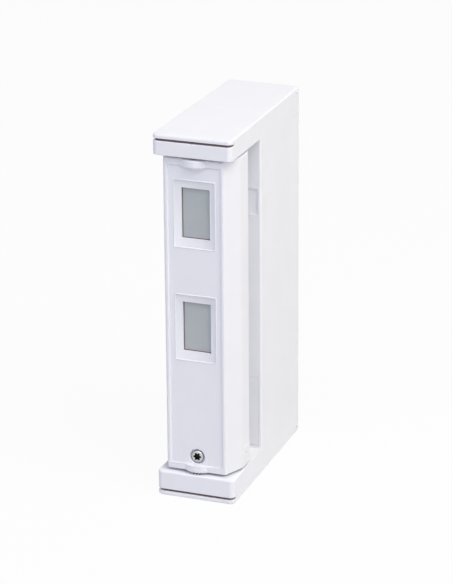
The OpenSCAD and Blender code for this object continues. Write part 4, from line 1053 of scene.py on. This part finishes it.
# Blocks on a seeded choice of a grid's places; the grid lies in its own X and Y
def partsTree(finish):
    tree, enter = startGeometry("blocks" + finish, "Wide Tall Share SizeX SizeY SizeZ",
                                "Across Up Seed")
    grid = addNode(tree, "GeometryNodeMeshGrid", {
        "Size X": enter["Wide"], "Size Y": enter["Tall"], "Vertices X": enter["Across"],
        "Vertices Y": enter["Up"]})
    size = addNode(tree, "ShaderNodeCombineXYZ",
                   {"X": enter["SizeX"], "Y": enter["SizeY"], "Z": enter["SizeZ"]})
    body = addNode(tree, "GeometryNodeMeshCube", {"Size": size})
    pick = addNode(tree, "FunctionNodeRandomValue",
                   {"Probability": enter["Share"], "Seed": enter["Seed"]}, data_type="BOOLEAN")
    places = addNode(tree, "GeometryNodeInstanceOnPoints", {
        "Points": grid, "Instance": body, "Selection": pick.outputs[3]})
    return endGeometry(tree, places, finish)


def makeParts(look):
    trees = {"chip": partsTree("mattChipEpoxy"), "cap": partsTree("tanCeramic")}
    step = look["step"]
    for name, strip in look["strips"].items():
        low, high, middle = boxOf(strip["board"])
        tall = strip["to"] - strip["from"]
        spread = high.x - low.x - look["margin"]
        for number, (kind, (wide, out, long)) in enumerate(look["sizes"].items()):
            piece = growPiece(
                name + kind.capitalize() + "Row", trees[kind],
                {"Wide": spread - step, "Tall": tall - long, "SizeX": wide, "SizeY": long, "SizeZ": out},
                {"Across": int(spread / step / 2) + 1, "Up": max(2, int(tall / step / look["stepUp"])),
                 "Share": look["share"], "Seed": strip["seed"] + number})
            edges = piece.modifiers.new("edges", "BEVEL")
            edges.width, edges.segments, edges.limit_method = look["edge"] * mm, 1, "ANGLE"
            freeze(piece)
            aside = (number / 2 - 1 / 4) * step     # the capacitors stand between the chips
            placeMesh(piece, (0, -1, 0), (aside, low.y - out / 2, (strip["from"] + strip["to"]) / 2))
            finishPiece(piece, bodyOf[strip["board"]])


makeParts(partsLook)
print("board parts made")

# Three small printed marks on the lower arm's top, in front of the head: they show its middle position
markLook = {"count": 3, "step": 1.5, "wide": 0.45, "long": 1.5, "thick": 0.05, "in": 2.2}


def makeMarks(look):
    piece = growPiece(
        "middleMarks", partsTree("mattBlackPolycarbonate"),
        {"Wide": (look["count"] - 1) * look["step"], "Tall": 0, "SizeX": look["wide"],
         "SizeY": look["long"], "SizeZ": look["thick"]},
        {"Across": look["count"], "Up": 1, "Share": 1.0})
    placeMesh(piece, (0, 0, 1), (0, frontY + look["in"], lowArmTop))
    finishPiece(piece, "housing")


makeMarks(markLook)
print("marks made")

# Finishes of the CAD nodes that stay as they are
nodeFinish = {
    # the cap seals' dark rubber also stands in for the shade in the grooves under the caps
    "darkSealRubber": ["cap_seals", "box_seal", "swivel_washers", "screw_ring", "cover_seals"],
    "tumbledStainless": ["main_board_screws"],
    "nickelSpringWire": ["battery_contacts", "shaft_clip", "click_spring"],
    "greenSolderMask": ["main_board", "radio_board", "sensor_board"],
    "turnedBrass": ["index_plate"],
    "naturalAcetal": ["upper_shaft", "lower_shaft", "wall_tamper_plunger", "cover_tamper_plunger"],
    "paleLeadJacket": ["head_lead"],
    "mattBlackPolycarbonate": ["radio_leads", "battery_leads"],
}
for finish, names in nodeFinish.items():
    for name in names:
        cadMesh = frame["nodes"][name].data
        cadMesh.materials.clear()
        cadMesh.materials.append(materials[finish])
print("finishes given to the CAD nodes")

# Studio: a pale paper floor, an even sky and four softboxes, in metres
studio = {
    "floorColor": "#e2e2e5",
    "floorFibre": "#dfdfe2",
    "fibreSize": 3,               # mm
    "floorReach": 6.0,
    "floorShow": 0.06,            # how much of the floor's own light and shadow the camera sees
    "sky": (0.36, 0.36, 0.371),   # what the object gets from all round
    "aim": (0, -0.05, 0),
    "lamps": {
        "key": {"place": (0.9, -0.5, 1.45), "power": 21.0, "size": 1.1, "color": (1.0, 0.95, 0.83)},
        "side": {"place": (1.45, -0.75, 1.0), "power": 4.5, "size": 1.2, "color": (0.88, 0.97, 1.0)},
        "frontLeft": {"place": (-0.5, -1.3, 1.5), "power": 6.6, "size": 0.8, "color": (0.66, 0.73, 1.0)},
        "front": {"place": (0.35, -1.5, 1.6), "power": 3.3, "size": 0.8, "color": (0.60, 0.68, 1.0)},
    },
}


# White where the camera, a mirror or a glass looks, the other shader for all the rest
def seenWhite(tree, plain, white):
    path = addNode(tree, "ShaderNodeLightPath").outputs
    nearRay = addNode(tree, "ShaderNodeMath", {0: path["Is Camera Ray"], 1: path["Is Glossy Ray"]},
                      operation="MAXIMUM")
    anyRay = addNode(tree, "ShaderNodeMath", {0: nearRay, 1: path["Is Transmission Ray"]},
                     operation="MAXIMUM")
    return addNode(tree, "ShaderNodeMixShader", {0: anyRay, 1: plain, 2: white})


def makeFloor(look):
    material = bpy.data.materials.new("palePaperFloor")   # matt seamless paper with faint fibres
    tree = emptyTree(material)
    place = addNode(tree, "ShaderNodeTexCoord").outputs["Object"]
    fibre = addNode(tree, "ShaderNodeTexNoise",
                    {"Vector": place, "Scale": perMetre(look["fibreSize"]), "Detail": 3.0})
    tone = addNode(tree, "ShaderNodeMix", {
        0: fibre, 6: toLinear(look["floorColor"]), 7: toLinear(look["floorFibre"])}, data_type="RGBA")
    paper = addNode(tree, "ShaderNodeBsdfDiffuse", {"Color": tone.outputs[2]})
    white = addNode(tree, "ShaderNodeEmission", {"Color": (1, 1, 1, 1), "Strength": 1.0})
    seen = addNode(tree, "ShaderNodeMixShader", {0: look["floorShow"], 1: white, 2: paper})
    addNode(tree, "ShaderNodeOutputMaterial", {"Surface": seenWhite(tree, paper, seen)})
    sheet = bpy.data.meshes.new("studioFloor")
    reach = look["floorReach"]
    corners = [(x * reach, y * reach, cadLow.z) for x, y in ((-1, -1), (1, -1), (1, 1), (-1, 1))]
    sheet.from_pydata(corners, [], [(0, 1, 2, 3)])
    sheet.materials.append(material)
    floor = bpy.data.objects.new("studioFloor", sheet)
    scene.collection.objects.link(floor)


def makeSky(look):
    scene.world = bpy.data.worlds.new("studioWorld")
    tree = emptyTree(scene.world)
    white = addNode(tree, "ShaderNodeBackground", {"Color": (1, 1, 1, 1), "Strength": 1.0})
    soft = addNode(tree, "ShaderNodeBackground", {"Color": look["sky"] + (1,), "Strength": 1.0})
    addNode(tree, "ShaderNodeOutputWorld", {"Surface": seenWhite(tree, soft, white)})


def makeLamps(look):
    for name, lampLook in look["lamps"].items():
        lamp = bpy.data.lights.new(name + "Softbox", "AREA")
        lamp.energy, lamp.size, lamp.color = lampLook["power"], lampLook["size"], lampLook["color"]
        box = bpy.data.objects.new(name + "Softbox", lamp)
        box.location = lampLook["place"]
        aim = Vector(look["aim"]) - Vector(lampLook["place"])
        box.rotation_euler = aim.to_track_quat("-Z", "Y").to_euler()
        scene.collection.objects.link(box)


makeFloor(studio)
makeSky(studio)
makeLamps(studio)
scene.view_settings.view_transform = "Standard"
print("studio made")
